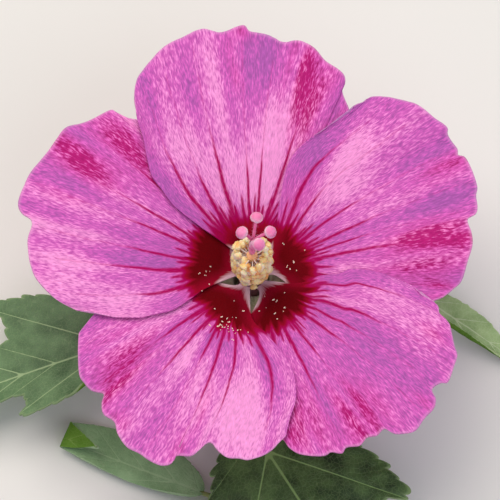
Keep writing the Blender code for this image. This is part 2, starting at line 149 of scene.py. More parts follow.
def colour(code):
    """An sRGB hex colour as linear red, green and blue, with an alpha of 1."""
    parts = [int(code[k:k + 2], 16) / 255 for k in (0, 2, 4)]
    return (*[part / 12.92 if part <= 0.04045 else ((part + 0.055) / 1.055) ** 2.4 for part in parts], 1)


def plug(made, node, values={}, links={}):
    """Sets values on a node's sockets, with colours as hex codes, and links other outputs into them."""
    for socket, value in values.items():
        node.inputs[socket].default_value = colour(value) if isinstance(value, str) else value
    for socket, source in links.items():
        made.node_tree.links.new(source, node.inputs[socket])


def add(made, kind, values={}, links={}, stops=(), out=0, **facts):
    """A new node in a material, with its sockets, a ramp's stops and its settings. Gives one output."""
    node = made.node_tree.nodes.new("ShaderNode" + kind)
    for fact, setting in facts.items():
        setattr(node, fact, setting)
    plug(made, node, values, links)
    for i, (position, code) in enumerate(stops):
        element = node.color_ramp.elements[i] if i < 2 else node.color_ramp.elements.new(position)
        element.position = position
        element.color = colour(code)
    return node.outputs[out]


def material_of(name):
    """A material with its shader and no other nodes yet."""
    made = bpy.data.materials.new(name)
    made.use_nodes = True
    return made, made.node_tree.nodes["Principled BSDF"]


def stem_at(y):
    """The stem's axis and radius at a place along it, lying on the surface."""
    share = (y - STEM_BUTT.y) / (STEM_TIP.y - STEM_BUTT.y)
    radius = STEM_BUTT_RADIUS + (STEM_TIP_RADIUS - STEM_BUTT_RADIUS) * share
    x = STEM_BUTT.x + (STEM_TIP.x - STEM_BUTT.x) * share + STEM_BEND * math.sin(math.pi * share)
    return Vector((x, y, radius + NODE_SWELLING)), radius


def bark_relief(turn, share):
    """Height of the bark's ridges and pores over the stem's radius."""
    round_it = Vector((math.cos(turn), math.sin(turn), 0)) * BARK_RIDGES_AROUND
    ridge = noise.fractal(round_it + Vector((0, 0, share * RIDGES_ALONG)), 0.8, 2.1, 4)
    pore = noise.cell(Vector((round_it.x * 1.2, round_it.y * 1.2, share * PORE_SIZES_ALONG)))
    speck = noise.noise(Vector((round_it.x * 1.6, round_it.y * 1.6, share * PORES_ALONG)) + Vector((7, 3, 1)))
    return BARK_RIDGE * (ridge - 1) + PORE_HEIGHT * max(speck - PORE_FREE, 0) * (1 + pore)


stem_points, stem_radii = [], []
for ring in range(STEM_RINGS + 1):
    y = STEM_BUTT.y + (STEM_TIP.y - STEM_BUTT.y) * ring / STEM_RINGS
    axis, radius = stem_at(y)
    past = [y - node * MM for node in NODES.values()]
    swelling = sum(math.exp(-((distance / NODE_LENGTH) ** 2)) for distance in past)
    scar = sum(math.exp(-(((distance - NODE_LENGTH) / SCAR_WIDTH) ** 2)) for distance in past)
    stem_points.append(ground + axis)
    stem_radii.append(radius + NODE_SWELLING * swelling - SCAR_DEPTH * scar)
stem_radii[-3:-1] = [radius * share for radius, share in zip(stem_radii[-3:-1], TIP_ROUNDING)]

bark, shader = material_of("young_bark")
# Thin living bark is matt, grey over green-brown, with paler corky pores and darker lengthwise cracks
where = add(bark, "TexCoord", out="UV")
stretched = add(bark, "Mapping", {"Scale": (34, 60, 1)}, {"Vector": where})
fibres = add(bark, "TexNoise", {"Scale": 1.0, "Detail": 6.0, "Roughness": 0.6}, {"Vector": stretched})
patched = add(bark, "Mapping", {"Scale": (4, 30, 1)}, {"Vector": where})
patches = add(bark, "TexNoise", {"Scale": 1.0, "Detail": 3.0}, {"Vector": patched})
brown = add(bark, "ValToRGB", links={"Fac": fibres}, stops=(
    (0.3, "4A3B28"), (0.75, "A08C6C"), (0.5, "75634A")))
greenish = add(bark, "ValToRGB", links={"Fac": patches}, stops=((0.4, "000000"), (0.7, "B0B0B0")))
tone = add(bark, "Mix", {7: "6E7548"}, {0: greenish, 6: brown}, out=2, data_type="RGBA")
raised = add(bark, "Bump", {"Strength": 0.6, "Distance": 0.2 * MM}, {"Height": fibres})
plug(bark, shader, {"Roughness": 0.82, "IOR": 1.45}, {"Base Color": tone, "Normal": raised})

cut_wood, shader = material_of("cut_sapwood")
# A fresh secateur cut is pale damp wood round a soft white pith, with a thin green line under the bark
where = add(cut_wood, "TexCoord", out="Object")
butt_axis, _ = stem_at(STEM_BUTT.y)
centred = add(cut_wood, "Mapping", {"Location": -(ground + butt_axis)}, {"Vector": where})
reach = add(cut_wood, "VectorMath", links={0: centred}, out="Value", operation="LENGTH")
share = add(cut_wood, "Math", {1: STEM_BUTT_RADIUS}, {0: reach}, operation="DIVIDE")
rings = add(cut_wood, "ValToRGB", links={"Fac": share}, stops=(
    (0.0, "EFE8CF"), (1.0, "6C5A3A"), (0.28, "EDE4C6"), (0.32, "C9B888"), (0.55, "DCCB9C"), (0.84, "D4C290"),
    (0.9, "7F8A4C")))
grain = add(cut_wood, "TexNoise", {"Scale": 2200.0, "Detail": 3.0}, {"Vector": where})
tone = add(cut_wood, "Mix", {0: 0.18, 7: "A08C5E"}, {6: rings}, out=2, data_type="RGBA")
raised = add(cut_wood, "Bump", {"Strength": 0.3, "Distance": 0.1 * MM}, {"Height": grain})
plug(cut_wood, shader, {"Roughness": 0.6}, {"Base Color": tone, "Normal": raised})

form = limb(stem_points, stem_radii, STEM_SIDES, bark_relief)
butt_face_y = (ground + butt_axis).y + 0.25 * MM
for face in form.faces:
    if face.calc_center_median().y < butt_face_y:
        face.material_index = 1
stem = shown("stem_with_bark", form, bark, cut_wood)
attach(stem, "root")
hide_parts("stem")

# Leaves
# Each leaf is one thin blade on a short stalk, lobed or plain, with round teeth along its rim. A midrib and
# main veins fan out from its foot, a little sunk in the upper side, and the blades droop to the surface.

VIEW_TILT = math.radians(20)
VIEW_DISTANCE = 600 * MM
# The camera's place from the throat
EYE = VIEW_DISTANCE * Vector((0, -math.sin(VIEW_TILT), math.cos(VIEW_TILT)))
LEAF_LENGTH = 72
LEAF_THICKNESS = 0.7 * MM
LOBED_HALF = ((-1.5, 1.2), (-2, 6), (1, 11), (6, 16), (13, 20.5), (21, 23.5), (29.5, 25), (28.5, 18))
LOBED_HALF += ((29, 11.5), (37, 12), (48, 12), (58, 8.5), (66, 4), (72, 0))
PLAIN_HALF = ((-1.5, 1.2), (0, 6), (6, 12), (15, 16.5), (28, 18), (42, 15.5), (55, 10.5), (65, 4.5), (72, 0))
DROOP = 1.4
ROW_BLEND = 0.8
VEIN_SLANT = 1.1
TEETH = 9
COLUMNS_EACH = 26
LEAF_ROWS = 24
TOOTH_DEPTH = 1.0
SMALL_TEETH_EACH = 3
SMALL_TOOTH_DEPTH = 1.1
QUILTING = 0.1 * MM
VEIN_DEPTH = 0.04 * MM
VEIN_WIDTH = 0.34 * MM
# Side veins fork off a main vein at these shares of it. Each turns aside, reaches this share of what is left
# of the main vein, bows to one side, and is this much fainter where it starts, and again where it ends
SIDE_VEIN_STARTS = (0.22, 0.4, 0.57, 0.74)
SIDE_VEIN_TURN = 0.6
SIDE_VEIN_LENGTH = 0.75
SIDE_VEIN_BOW = 0.08
SIDE_VEIN_FAINTER = 0.4
SIDE_VEIN_FADE = 0.2
MIDRIB_WIDTH = 0.6 * MM
VEIN_MESH = 0.9 * MM
EDGE_WAVE = 0.5 * MM
EDGE_WAVE_ALONG = 3.4 * MM
EDGE_WAVE_ACROSS = 3 * MM
CURL_RADIUS = 0.45 * MM
FULL_CURL = 2.7
LEAFSTALK_RADIUS = 0.9 * MM
LEAFSTALK_RISE = 1.0 * MM
LEAFSTALK_TAPER = 0.45
# A stalk's foot swells where it springs from the stem
STALK_FLARE = np.array([0.5, 0.45, 0.3, 0.12]) * MM


def seen_at(across, up, height):
    """The point at this height above the throat that looks this far across and up from the throat."""
    looked_at = Vector((across, up * math.cos(VIEW_TILT), up * math.sin(VIEW_TILT)))
    return EYE.lerp(looked_at, (height - EYE.z) / (looked_at.z - EYE.z))


def as_seen(x, y, z):
    """How far across and up from the throat a point looks, from its place beside the throat."""
    towards_eye = z * math.cos(VIEW_TILT) - y * math.sin(VIEW_TILT)
    nearer = VIEW_DISTANCE / (VIEW_DISTANCE - towards_eye)
    return x * nearer, (y * math.cos(VIEW_TILT) + z * math.sin(VIEW_TILT)) * nearer


def paint(piece, name, values):
    """One number for each corner of the piece's mesh, which its material reads by name."""
    layer = piece.data.attributes.new(name, "FLOAT", "POINT")
    layer.data.foreach_set("value", np.asarray(values, np.float32))


def curled(distance, crease):
    """Rolls what lies past a crease up and back over the blade. Gives the new distance and the rise."""
    turn = np.maximum(distance - crease, 0) / CURL_RADIUS
    past = np.maximum(turn - FULL_CURL, 0) * CURL_RADIUS
    turn = np.minimum(turn, FULL_CURL)
    rolled_to = crease + CURL_RADIUS * np.sin(turn) + past * math.cos(FULL_CURL)
    lifted = CURL_RADIUS * (1 - np.cos(turn)) + past * math.sin(FULL_CURL)
    return np.where(distance > crease, rolled_to, distance), lifted


def off_line(from_x, from_y, run_x, run_y, bow=0.0):
    """How far points lie off a line that starts at 0 and bows to one side, and how far along it they lie."""
    along = np.clip((from_x * run_x + from_y * run_y) / (run_x**2 + run_y**2), 0, 1)
    bowed = bow * np.sin(math.pi * along)
    off = np.hypot(from_x - run_x * along + run_y * bowed, from_y - run_y * along - run_x * bowed)
    return off, along


def thicken(piece, thickness):
    """Gives a blade its thickness, half to each side, with its second material on the under side."""
    wall = piece.modifiers.new("thickness", "SOLIDIFY")
    wall.thickness = thickness
    wall.offset = 0
    wall.material_offset = 1


def blade_tissue(name, blade, dark, vein, rim, roughness, vein_share, through_share):
    """A leaf's skin: mottled green, crisp main veins, a net of fine ones between them, and a paler rim. The
    mottling is partly the leaf's own uneven tone and partly painted sheen.
    """
    made, shader = material_of(name)
    where = add(made, "TexCoord", out="Object")
    mottle_and_sheen = add(made, "TexNoise", {"Scale": 170.0, "Detail": 5.0}, {"Vector": where})
    pores = add(made, "TexNoise", {"Scale": 3000.0, "Detail": 2.0}, {"Vector": where})
    bent = add(made, "TexNoise", {"Scale": 420.0, "Detail": 1.0}, {"Vector": where}, out="Color")
    bend = add(made, "VectorMath", {1: (1.2 * MM,) * 3}, {0: bent}, operation="MULTIPLY")
    warped = add(made, "VectorMath", links={0: where, 1: bend}, operation="ADD")
    cells = add(made, "TexVoronoi", {"Scale": 1 / VEIN_MESH}, {"Vector": warped}, feature="DISTANCE_TO_EDGE")
    net = add(made, "MapRange", {2: 0.1, 3: 1.0, 4: 0.0}, {0: cells})
    # How far off the nearest main vein lies, with its own width as 1
    aside = add(made, "Attribute", out="Fac", attribute_name="off_vein")
    large = add(made, "MapRange", {1: 0.3, 2: 0.65, 3: 1.0, 4: 0.0}, {0: aside},
                interpolation_type="SMOOTHSTEP")
    edge = add(made, "Attribute", out="Fac", attribute_name="edge")
    # The mottle's pale blotches are partly painted sheen, standing in for gloss that reflects the sky
    spread = add(made, "MapRange", {1: 0.35, 2: 0.65}, {0: mottle_and_sheen})
    netted = add(made, "Math", {1: 0.2}, {0: net}, operation="MULTIPLY")
    veined = add(made, "Math", {1: vein_share}, {0: large}, operation="MULTIPLY")
    tone = add(made, "Mix", {6: dark, 7: blade}, {0: spread}, out=2, data_type="RGBA")
    for share, code in ((netted, vein), (veined, vein), (edge, rim)):
        tone = add(made, "Mix", {7: code}, {0: share, 6: tone}, out=2, data_type="RGBA")
    sunk = add(made, "Math", {1: -0.6}, {0: net}, operation="MULTIPLY")
    pebbled = add(made, "Math", {1: 0.3}, {0: pores, 2: sunk}, operation="MULTIPLY_ADD")
    grooved = add(made, "Math", {1: -0.3}, {0: large, 2: pebbled}, operation="MULTIPLY_ADD")
    raised = add(made, "Bump", {"Strength": 0.55, "Distance": 0.14 * MM}, {"Height": grooved})
    plug(made, shader, {"Roughness": roughness, "IOR": 1.42}, {"Base Color": tone, "Normal": raised})
    through = add(made, "BsdfTranslucent", links={"Color": tone})
    both = add(made, "MixShader", {0: through_share}, {1: shader.outputs[0], 2: through})
    plug(made, made.node_tree.nodes["Material Output"], links={"Surface": both})
    return made


green_stalk, shader = material_of("downy_green_stalk")
# Leafstalks and the flower stalk are soft young green growth, a little shiny, with fine down
where = add(green_stalk, "TexCoord", out="Object")
down = add(green_stalk, "TexNoise", {"Scale": 1800.0, "Detail": 3.0}, {"Vector": where})
shade = add(green_stalk, "TexNoise", {"Scale": 120.0, "Detail": 2.0}, {"Vector": where})
tone = add(green_stalk, "ValToRGB", links={"Fac": shade}, stops=((0.3, "5E6E3A"), (0.7, "86904E")))
raised = add(green_stalk, "Bump", {"Strength": 0.4, "Distance": 0.1 * MM}, {"Height": down})
finish = {"Roughness": 0.55, "Sheen Weight": 0.3, "Sheen Tint": "E8ECD0"}
plug(green_stalk, shader, finish, {"Base Color": tone, "Normal": raised})

# Each leaf's foot as seen (across, up, height), its heading, size, sides' widths, the height of its tip, its
# arch, the fall of each side, how deep its teeth are, its curl (which side turns over, how much of it, and
# from where to where along the leaf), where its tip folds back, and its skin as blade_tissue takes it
LEAVES = {
    "leaf_left": {
        "foot": (-27, -15, 15), "heading": 197, "size": 1.0, "sides": (0.42, 0.8),
        "tip_height": 0.6, "arch": 0.5, "fold": (-0.35, 0.1), "half": LOBED_HALF, "teeth": 0.9,
        "curl": (1, 0.42, -0.2, 0.26), "tip_fold": 2,
        "skin": ("688A5C", "46663E", "A8C28E", "A4BC88", 0.5, 0.8),
    },
    "leaf_bottom": {
        "foot": (1, -37, 15), "heading": -57, "size": 1.0, "sides": (0.92, 1.05),
        "tip_height": 0.6, "arch": 1.5, "fold": (0.1, 0.12), "half": LOBED_HALF, "teeth": 1.1,
        "curl": (1, 0, 0, 1), "tip_fold": 2,
        # Its pale green blotches over dark green are partly painted sheen, standing in for the sky reflected
        # in its gloss
        "skin": ("56743C", "1E360E", "90B268", "A8C084", 0.32, 0.85),
    },
    "leaf_lower_left": {
        "foot": (-12, -50, 4.5), "heading": 158, "size": 0.62, "sides": (0.32, 0.7),
        "tip_height": 4, "arch": -1.5, "fold": (0.02, 0.02), "half": PLAIN_HALF, "teeth": 0.25,
        "curl": (-1, 0, 0, 1), "tip_fold": 0.76,
        "skin": ("8CAE7E", "709264", "A8C296", "B0C8A0", 0.5, 0.35),
    },
    "leaf_right": {
        "foot": (26, 2, 9), "heading": -31, "size": 0.62, "sides": (0.6, 0.42),
        "tip_height": 0.6, "arch": 1.5, "fold": (0.05, 0.05), "half": LOBED_HALF, "teeth": 0.6,
        "curl": (-1, 0.5, 0.1, 1.2), "tip_fold": 2,
        # Its pale upper-skin greens are partly painted highlight, glare on its glossy upper side
        "skin": ("B2CC90", "86A466", "D8E4BC", "CCDCA8", 0.42, 0.55),
    },
}

leaf_columns = TEETH * COLUMNS_EACH
places = np.arange(leaf_columns + 1)
# Each coarse tooth leans towards the leaf's tip, and carries round small ones with sharp notches between them
coarse = (places / COLUMNS_EACH) % 1
coarse = np.where(coarse < 0.3, 1 - coarse / 0.3, (coarse - 0.3) / 0.7)
small = (places * SMALL_TEETH_EACH / COLUMNS_EACH + 0.35) % 1
small = np.sqrt(np.maximum(1 - (2 * small**0.8 - 1) ** 2, 0))
tooth = TOOTH_DEPTH * (coarse - 0.5) + SMALL_TOOTH_DEPTH * (small - 0.7)
tooth *= np.minimum(1, np.minimum(places, leaf_columns - places) / 6)
# The teeth that a main vein runs to, with how broad it is
VEINED = ((1.6, 0.6), (4, 1.1), (5.2, 0.6), (6, 0.8), (7, 0.75), (8, 0.7))
under_skin = blade_tissue("leaf_under_skin", "6E9A2E", "558218", "9DBB66", "8CB04A", 0.6, 0.5, 0.25)

for name, leaf in LEAVES.items():
    heading = math.radians(leaf["heading"])
    scale = leaf["size"] * MM
    length = LEAF_LENGTH * scale
    foot_height = leaf["foot"][2] * MM
    base = seen_at(leaf["foot"][0] * MM, leaf["foot"][1] * MM, foot_height - THROAT_HEIGHT)
    base.z = foot_height
    half_leaf = smooth_line(leaf["half"], leaf_columns + 1)
    slopes = np.gradient(half_leaf, axis=0)
    steps = np.linalg.norm(slopes, axis=1)
    outward = np.stack([-slopes[:, 1], slopes[:, 0]], axis=1) / steps[:, None]
    roots = np.maximum(half_leaf[:, 0] - VEIN_SLANT * half_leaf[:, 1], 0)
    # A tooth grows along the line that runs to it from the midrib, so that neighbouring lines never cross
    lines = half_leaf - np.stack([roots, 0 * roots], axis=1)
    reaches = np.linalg.norm(lines, axis=1)
    lines /= np.maximum(reaches, 0.01)[:, None]
    squareness = np.maximum(np.abs((lines * outward).sum(axis=1)), 0.5)
    grown = np.maximum(tooth * leaf["teeth"] / squareness, -0.4 * reaches)
    toothed = half_leaf + lines * grown[:, None]

    def on_blade(x, y, relief=0):
        """A point of the blade, from its place along and beside the midrib, for arrays or for numbers."""
        share = np.clip(x / length, 0, 1)
        sag = (foot_height - leaf["tip_height"] * MM) * share**DROOP
        sag -= leaf["arch"] * MM * np.sin(math.pi * share)
        slope = np.where(y > 0, *leaf["fold"])
        height = np.maximum(foot_height - sag - slope * np.abs(y) + relief, LEAF_THICKNESS / 2 + 0.05 * MM)
        east = base.x + x * math.cos(heading) - y * math.sin(heading)
        north = base.y + x * math.sin(heading) + y * math.cos(heading)
        return np.stack([ground.x + east, ground.y + north, ground.z + height], axis=-1)

    form = bmesh.new()
    bmesh.ops.create_grid(form, x_segments=leaf_columns, y_segments=2 * LEAF_ROWS, size=1)
    flat = np.array([vert.co for vert in form.verts])
    column = np.rint((flat[:, 0] + 1) / 2 * leaf_columns).astype(int)
    across = np.abs(flat[:, 1]) ** ROW_BLEND
    side = np.where(flat[:, 1] > 0, leaf["sides"][0], -leaf["sides"][1])
    x = (roots[column] + (toothed[column, 0] - roots[column]) * across) * scale
    y = toothed[column, 1] * across * side * scale

    # The midrib tapers to the leaf's tip, and the main veins run straight out to their teeth
    off_vein = np.abs(y) / (MIDRIB_WIDTH * np.clip(1.1 - x / length, 0.3, 1))
    for tooth_place, broad in VEINED:
        at = round(tooth_place * COLUMNS_EACH)
        from_x, from_y = x - roots[at] * scale, np.abs(y)
        run_x, run_y = (toothed[at, 0] * scale - roots[at] * scale), toothed[at, 1] * np.abs(side) * scale
        off, along = off_line(from_x, from_y, run_x, run_y)
        off_vein = np.minimum(off_vein, off / (VEIN_WIDTH * broad * (1.25 - 0.7 * along)))
        for start in SIDE_VEIN_STARTS:
            for turn in (-SIDE_VEIN_TURN, SIDE_VEIN_TURN):
                reach_x = (run_x * math.cos(turn) - run_y * math.sin(turn)) * (1 - start) * SIDE_VEIN_LENGTH
                reach_y = (run_x * math.sin(turn) + run_y * math.cos(turn)) * (1 - start) * SIDE_VEIN_LENGTH
                bow = math.copysign(SIDE_VEIN_BOW, turn)
                off, along = off_line(from_x - run_x * start, from_y - run_y * start, reach_x, reach_y, bow)
                off_vein = np.minimum(off_vein, off / VEIN_WIDTH + SIDE_VEIN_FAINTER + SIDE_VEIN_FADE * along)
    wave = EDGE_WAVE * across**3 * np.sin(x / EDGE_WAVE_ALONG) * np.sin(y / EDGE_WAVE_ACROSS + 1)
    relief = QUILTING * np.minimum(off_vein / 5, 1) - VEIN_DEPTH * np.exp(-(off_vein**2)) + wave

    # Where a side curls over or the tip folds back, the blade shows its brighter under side
    curled_side, curled_share, curl_start, curl_end = leaf["curl"]
    turned = np.clip((x / length - curl_start) * 6, 0, 1) * np.clip((curl_end - x / length) * 6, 0, 1)
    rim_y = np.abs(toothed[column, 1] * side * scale)
    crease = rim_y * (1 - curled_share * turned * (flat[:, 1] * curled_side > 0)) + 0.01 * MM
    beside, lifted = curled(np.abs(y), crease)
    y = np.sign(side) * beside
    x, tip_lifted = curled(x, leaf["tip_fold"] * length)
    relief += lifted + tip_lifted
    for vert, place in zip(form.verts, on_blade(x, y, relief)):
        vert.co = place

    top_skin = blade_tissue(name + "_upper_skin", *leaf["skin"], 0.1)
    piece = shown(name + "_blade", form, top_skin, under_skin)
    paint(piece, "off_vein", np.minimum(off_vein, 9))
    paint(piece, "edge", np.clip((across - 0.99) / 0.01, 0, 1) * 0.6)
    merged = bmesh.new()
    merged.from_mesh(piece.data)
    bmesh.ops.remove_doubles(merged, verts=merged.verts, dist=0.01 * MM)
    if sum(face.normal.z * face.calc_area() for face in merged.faces) < 0:
        bmesh.ops.reverse_faces(merged, faces=merged.faces)
    merged.to_mesh(piece.data)
    merged.free()
    thicken(piece, LEAF_THICKNESS)
    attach(piece, "root")
    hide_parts(name)

    axis, radius = stem_at(NODES[name] * MM)
    springing = (base - axis).normalized()
    start = axis + springing * (radius + 0.1 * MM)
    under = Vector((0, 0, -0.45 * MM))
    line = [start, start.lerp(base, 0.5) + Vector((0, 0, LEAFSTALK_RISE))]
    line += [Vector(on_blade(share * length, 0)) - ground + under for share in (0.0, 0.06, 0.12)]
    line = smooth_line(line, 36)
    radii = np.linspace(1, LEAFSTALK_TAPER, len(line)) * LEAFSTALK_RADIUS
    radii[:4] += STALK_FLARE
    form = limb([ground + Vector(point) for point in line], radii, 14)
    stalk = shown(name + "_stalk", form, green_stalk)
    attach(stalk, "root")
    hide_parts(name)

# Flower stalk
# The bloom stands on a short downy green stalk that springs from a node of the stem and thickens a little
# under the calyx.

GAP = 0.3 * MM
STALK_RADIUS = 1.15 * MM
STALK_TOP_RADIUS = 1.6 * MM
DISC_THICKNESS = 0.8 * MM
FLOWER_STALK_FLARE = np.array([0.7, 0.5, 0.3, 0.12]) * MM

axis, radius = stem_at(NODES["bloom"])
start = Vector((axis.x, axis.y, axis.z + radius))
top = Vector((0, 0, THROAT_HEIGHT - CALYX_DEPTH - DISC_THICKNESS))
line = smooth_line((start, start.lerp(top, 0.5), top), 40)
radii = np.linspace(STALK_RADIUS, STALK_TOP_RADIUS, len(line))
radii[1:5] += FLOWER_STALK_FLARE
form = limb([ground + Vector(point) for point in line], radii, 24)
piece = shown("downy_flower_stalk", form, green_stalk)
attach(piece, "root")
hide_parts("flower_stalk")

# Epicalyx
# Under the calyx stands a ring of seven narrow green bracts, fused to a thin disc at their feet. They are
# soft, downy and a little keeled, and curve up beside the calyx.

BRACTS = 7
BRACT_LENGTH = 13 * MM
BRACT_WIDTH = 1.7 * MM
BRACT_THICKNESS = 0.32 * MM
BRACT_KEEL = 0.25 * MM
BRACT_FOOT = 1.6 * MM
BRACT_SPREAD = 0.72
BRACT_RISE = 0.6
DISC_RADIUS = 2.5 * MM

downy_green, shader = material_of("downy_sepal")
# Sepals are dull grey-green, because a felt of short star-shaped hairs scatters the light over them
where = add(downy_green, "TexCoord", out="Object")
felt = add(downy_green, "TexNoise", {"Scale": 2400.0, "Detail": 4.0}, {"Vector": where})
shade = add(downy_green, "TexNoise", {"Scale": 220.0, "Detail": 3.0}, {"Vector": where})
# These greens are painted paler than the sepals' own, as painted light, so that the lobes in the shaded
# throat gaps look lit
tone = add(downy_green, "ValToRGB", links={"Fac": shade}, stops=((0.3, "9EA880"), (0.7, "D4D8B4")))
hairy = add(downy_green, "MapRange", {1: 0.52, 2: 0.72, 4: 0.55}, {0: felt})
tone = add(downy_green, "Mix", {7: "E0E2C8"}, {0: hairy, 6: tone}, out=2, data_type="RGBA")
raised = add(downy_green, "Bump", {"Strength": 0.7, "Distance": 0.15 * MM}, {"Height": felt})
finish = {"Roughness": 0.85, "Sheen Weight": 0.5, "Sheen Roughness": 0.5, "Sheen Tint": "E6E8D2"}
plug(downy_green, shader, finish, {"Base Color": tone, "Normal": raised})


def gather(whole, form):
    """Adds a bmesh to the whole one, and frees it."""
    mesh = bpy.data.meshes.new("part")
    form.to_mesh(mesh)
    form.free()
    whole.from_mesh(mesh)
    bpy.data.meshes.remove(mesh)

disc_foot = throat.z - CALYX_DEPTH - GAP - DISC_THICKNESS / 2
whole = bmesh.new()
bmesh.ops.create_uvsphere(whole, u_segments=36, v_segments=16, radius=1)
for vert in whole.verts:
    flat = vert.co.xy * DISC_RADIUS
    vert.co = (throat.x + flat.x, throat.y + flat.y, disc_foot + vert.co.z * DISC_THICKNESS / 2)
for k in range(BRACTS):
    turn = 2 * math.pi * (k + 0.3) / BRACTS

    def bract(angle, share):
        """A flattened, keeled blade whose tip comes to a point."""
        closed = 0.0 if share in (0.0, 1.0) else 1.0
        width = BRACT_WIDTH * (0.75 + 0.8 * share - 1.45 * share**3) * 0.5 * closed
        thick = BRACT_THICKNESS * (1 - 0.6 * share) * closed
        aside = width * math.cos(angle)
        lift = thick * math.sin(angle) - BRACT_KEEL * (1 - abs(math.cos(angle)))
        out = BRACT_FOOT + BRACT_LENGTH * BRACT_SPREAD * share
        up = BRACT_LENGTH * BRACT_RISE * share**2.2 + lift + 0.3 * MM * math.sin(5 * share + k)
        point = Matrix.Rotation(turn, 3, "Z") @ Vector((aside, out, up))
        return Vector((throat.x, throat.y, disc_foot)) + point

    gather(whole, rolled(16, 30, bract))
piece = shown("epicalyx_bracts", whole, downy_green)
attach(piece, "root")
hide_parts("epicalyx")

# Calyx
# The calyx is a downy cup of five sepals, fused below and free above. Their pointed tips stand between the
# petals' claws, where they show as small grey-green points round the throat.

# Its wall's line as (reach from the axis, height above the throat), in mm
CALYX_WALL = (
    (1.9, -14.5), (4.4, -13.6), (5.0, -9), (5.2, -3.6), (6.5, -1.1), (8.6, 0.2), (11.2, 1.6), (14.8, 3.2))
CALYX_SINUS = 0.6
LOBE_POINTEDNESS = 1.4
CALYX_THICKNESS = 0.9 * MM
CALYX_FLOOR = -11.2 * MM
LOBES = 5
SEPAL_RIB = 0.3 * MM

calyx_wall = smooth_line(CALYX_WALL, 60) * MM


def calyx_skin(turn, share):
    """A point of the cup, going up outside it, over its lobed edge and down inside it."""
    outside = share < 0.5
    climb = 2 * share if outside else 2 - 2 * share
    lobe = abs((LOBES * turn / math.pi) % 2 - 1)
    limit = CALYX_SINUS + (1 - CALYX_SINUS) * (1 - lobe) ** LOBE_POINTEDNESS
    at = climb * limit * (len(calyx_wall) - 1)
    reach, height = [np.interp(at, range(len(calyx_wall)), calyx_wall[:, k]) for k in (0, 1)]
    ribs = SEPAL_RIB * climb * (math.exp(-((1 - lobe) * 5) ** 2) * -0.6 + math.exp(-(lobe * 6) ** 2))
    if share in (0.0, 1.0):
        reach = 0.0
    elif not outside:
        reach, height = reach - CALYX_THICKNESS * 0.85, max(height + CALYX_THICKNESS * 0.4, CALYX_FLOOR)
    else:
        reach += ribs
    if share == 1.0:
        height = CALYX_FLOOR
    return throat + Vector((reach * math.sin(turn), reach * math.cos(turn), height))


piece = shown("calyx_cup", rolled(160, 80, calyx_skin), downy_green)
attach(piece, "root")
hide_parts("calyx")

# Petals
# Five thin petals stand in the calyx on narrow claws and lap one over the next, each like crumpled silk.
# Veins fan out from the claw, with soft folds and fine crepe between them, and a crimson eye bleeds out
# along the veins.

PETAL_THICKNESS = 0.35 * MM
PETAL_COLUMNS = 220
PETAL_ROWS = 170
ROW_SPACING = 1.15
EDGE_BLEND = 1.5
CLAW_START = 3.2 * MM
CLAW_HALF_WIDTH = 1.3 * MM
CLAW_SHARE = 0.24
CUP_START = 4 * MM
CUP_DEPTH = 15.5 * MM
CUP_LENGTH = 23 * MM
BLOOM_REACH = 56 * MM
HALF_PETAL = math.radians(47)
LAP_AT_THROAT = 0.55 * MM
LAP_AT_RIM = 1.05 * MM
FOLD_HEIGHT = 0.5 * MM
FOLDS_AROUND = (10, 17)
FOLDS_FROM = 9 * MM
FOLDS_FADE = 30 * MM
SOFT_FOLD = 0.6 * MM
SHARP_FOLD = 0.28 * MM
CRINKLE = 0.15 * MM
RIM_RUFFLE = 1.1 * MM
EDGE_CURL = 0.2 * MM
EDGE_CURL_SHARE = 0.12
EYE_BLEED = 2.8 * MM
EYE_EDGE = 3.2 * MM
FEATHER = 2.0 * MM
# Inside this reach every petal's eye is as deep, and right in the throat it is paler again
EYE_HEART = 11 * MM
EYE_HEART_FADE = 3 * MM
THROAT_REACH = 5 * MM
THROAT_FADE = 3 * MM
HALO_STRENGTH = 0.35
HALO_WIDTH = 2 * MM
# The streaks along the veins: how many, their shortest and longest reach past the eye in mm, half their width
# in mm, and how strong they still are at their tips
STREAKS = ((8, 9, 24, 0.32, 0.3), (17, 1.5, 5, 0.24, 0))
# The veins' share of the petal's width starts at this share, and streaks start this far from the throat
VEINS_FROM = 0.06
VEINS_SPREAD = 0.88
STREAK_START = 8 * MM
STREAK_FADE = 4 * MM
# How a petal widens with its reach
STREAK_WIDENING = 1.55
STREAK_SOFTNESS = 0.12 * MM
CLAW_PALE_REACH = 9.2 * MM
CLAW_PALE_FADE = 1.5 * MM
CLAW_BORDER = 2.0 * MM
RIM_START = 0.985
RIM_STRENGTH = 0.3


def petal_height(clock, reach, centre):
    """Height of a petal's middle surface above the throat. Each petal's anticlockwise edge laps over its
    neighbour's clockwise edge, so the petal leans from one to the other."""
    cup = CUP_DEPTH * (1 - np.exp((CUP_START - reach) / CUP_LENGTH))
    share = reach / BLOOM_REACH
    folds = FOLD_HEIGHT * share**2 * sum(np.sin(count * clock) for count in FOLDS_AROUND)
    turn = (clock - centre + math.pi) % (2 * math.pi) - math.pi
    lap = LAP_AT_THROAT + (LAP_AT_RIM - LAP_AT_THROAT) * share
    return cup + folds - lap * turn / HALF_PETAL


def laid(clock, reach, centre):
    """Where on the cupped petal the point lies that is seen at this clock angle and reach."""
    across, up = reach * math.sin(clock), reach * math.cos(clock)
    point = seen_at(across, up, CUP_DEPTH)
    for _ in range(6):
        height = float(petal_height(math.atan2(point.x, point.y), point.xy.length, centre))
        point = seen_at(across, up, height)
    return point


def waves(across, along, seed):
    """Smooth noise over a petal, with this many waves across it and along it."""
    return np.array([noise.noise(Vector((a, b, seed))) for a, b in zip(across, along)])


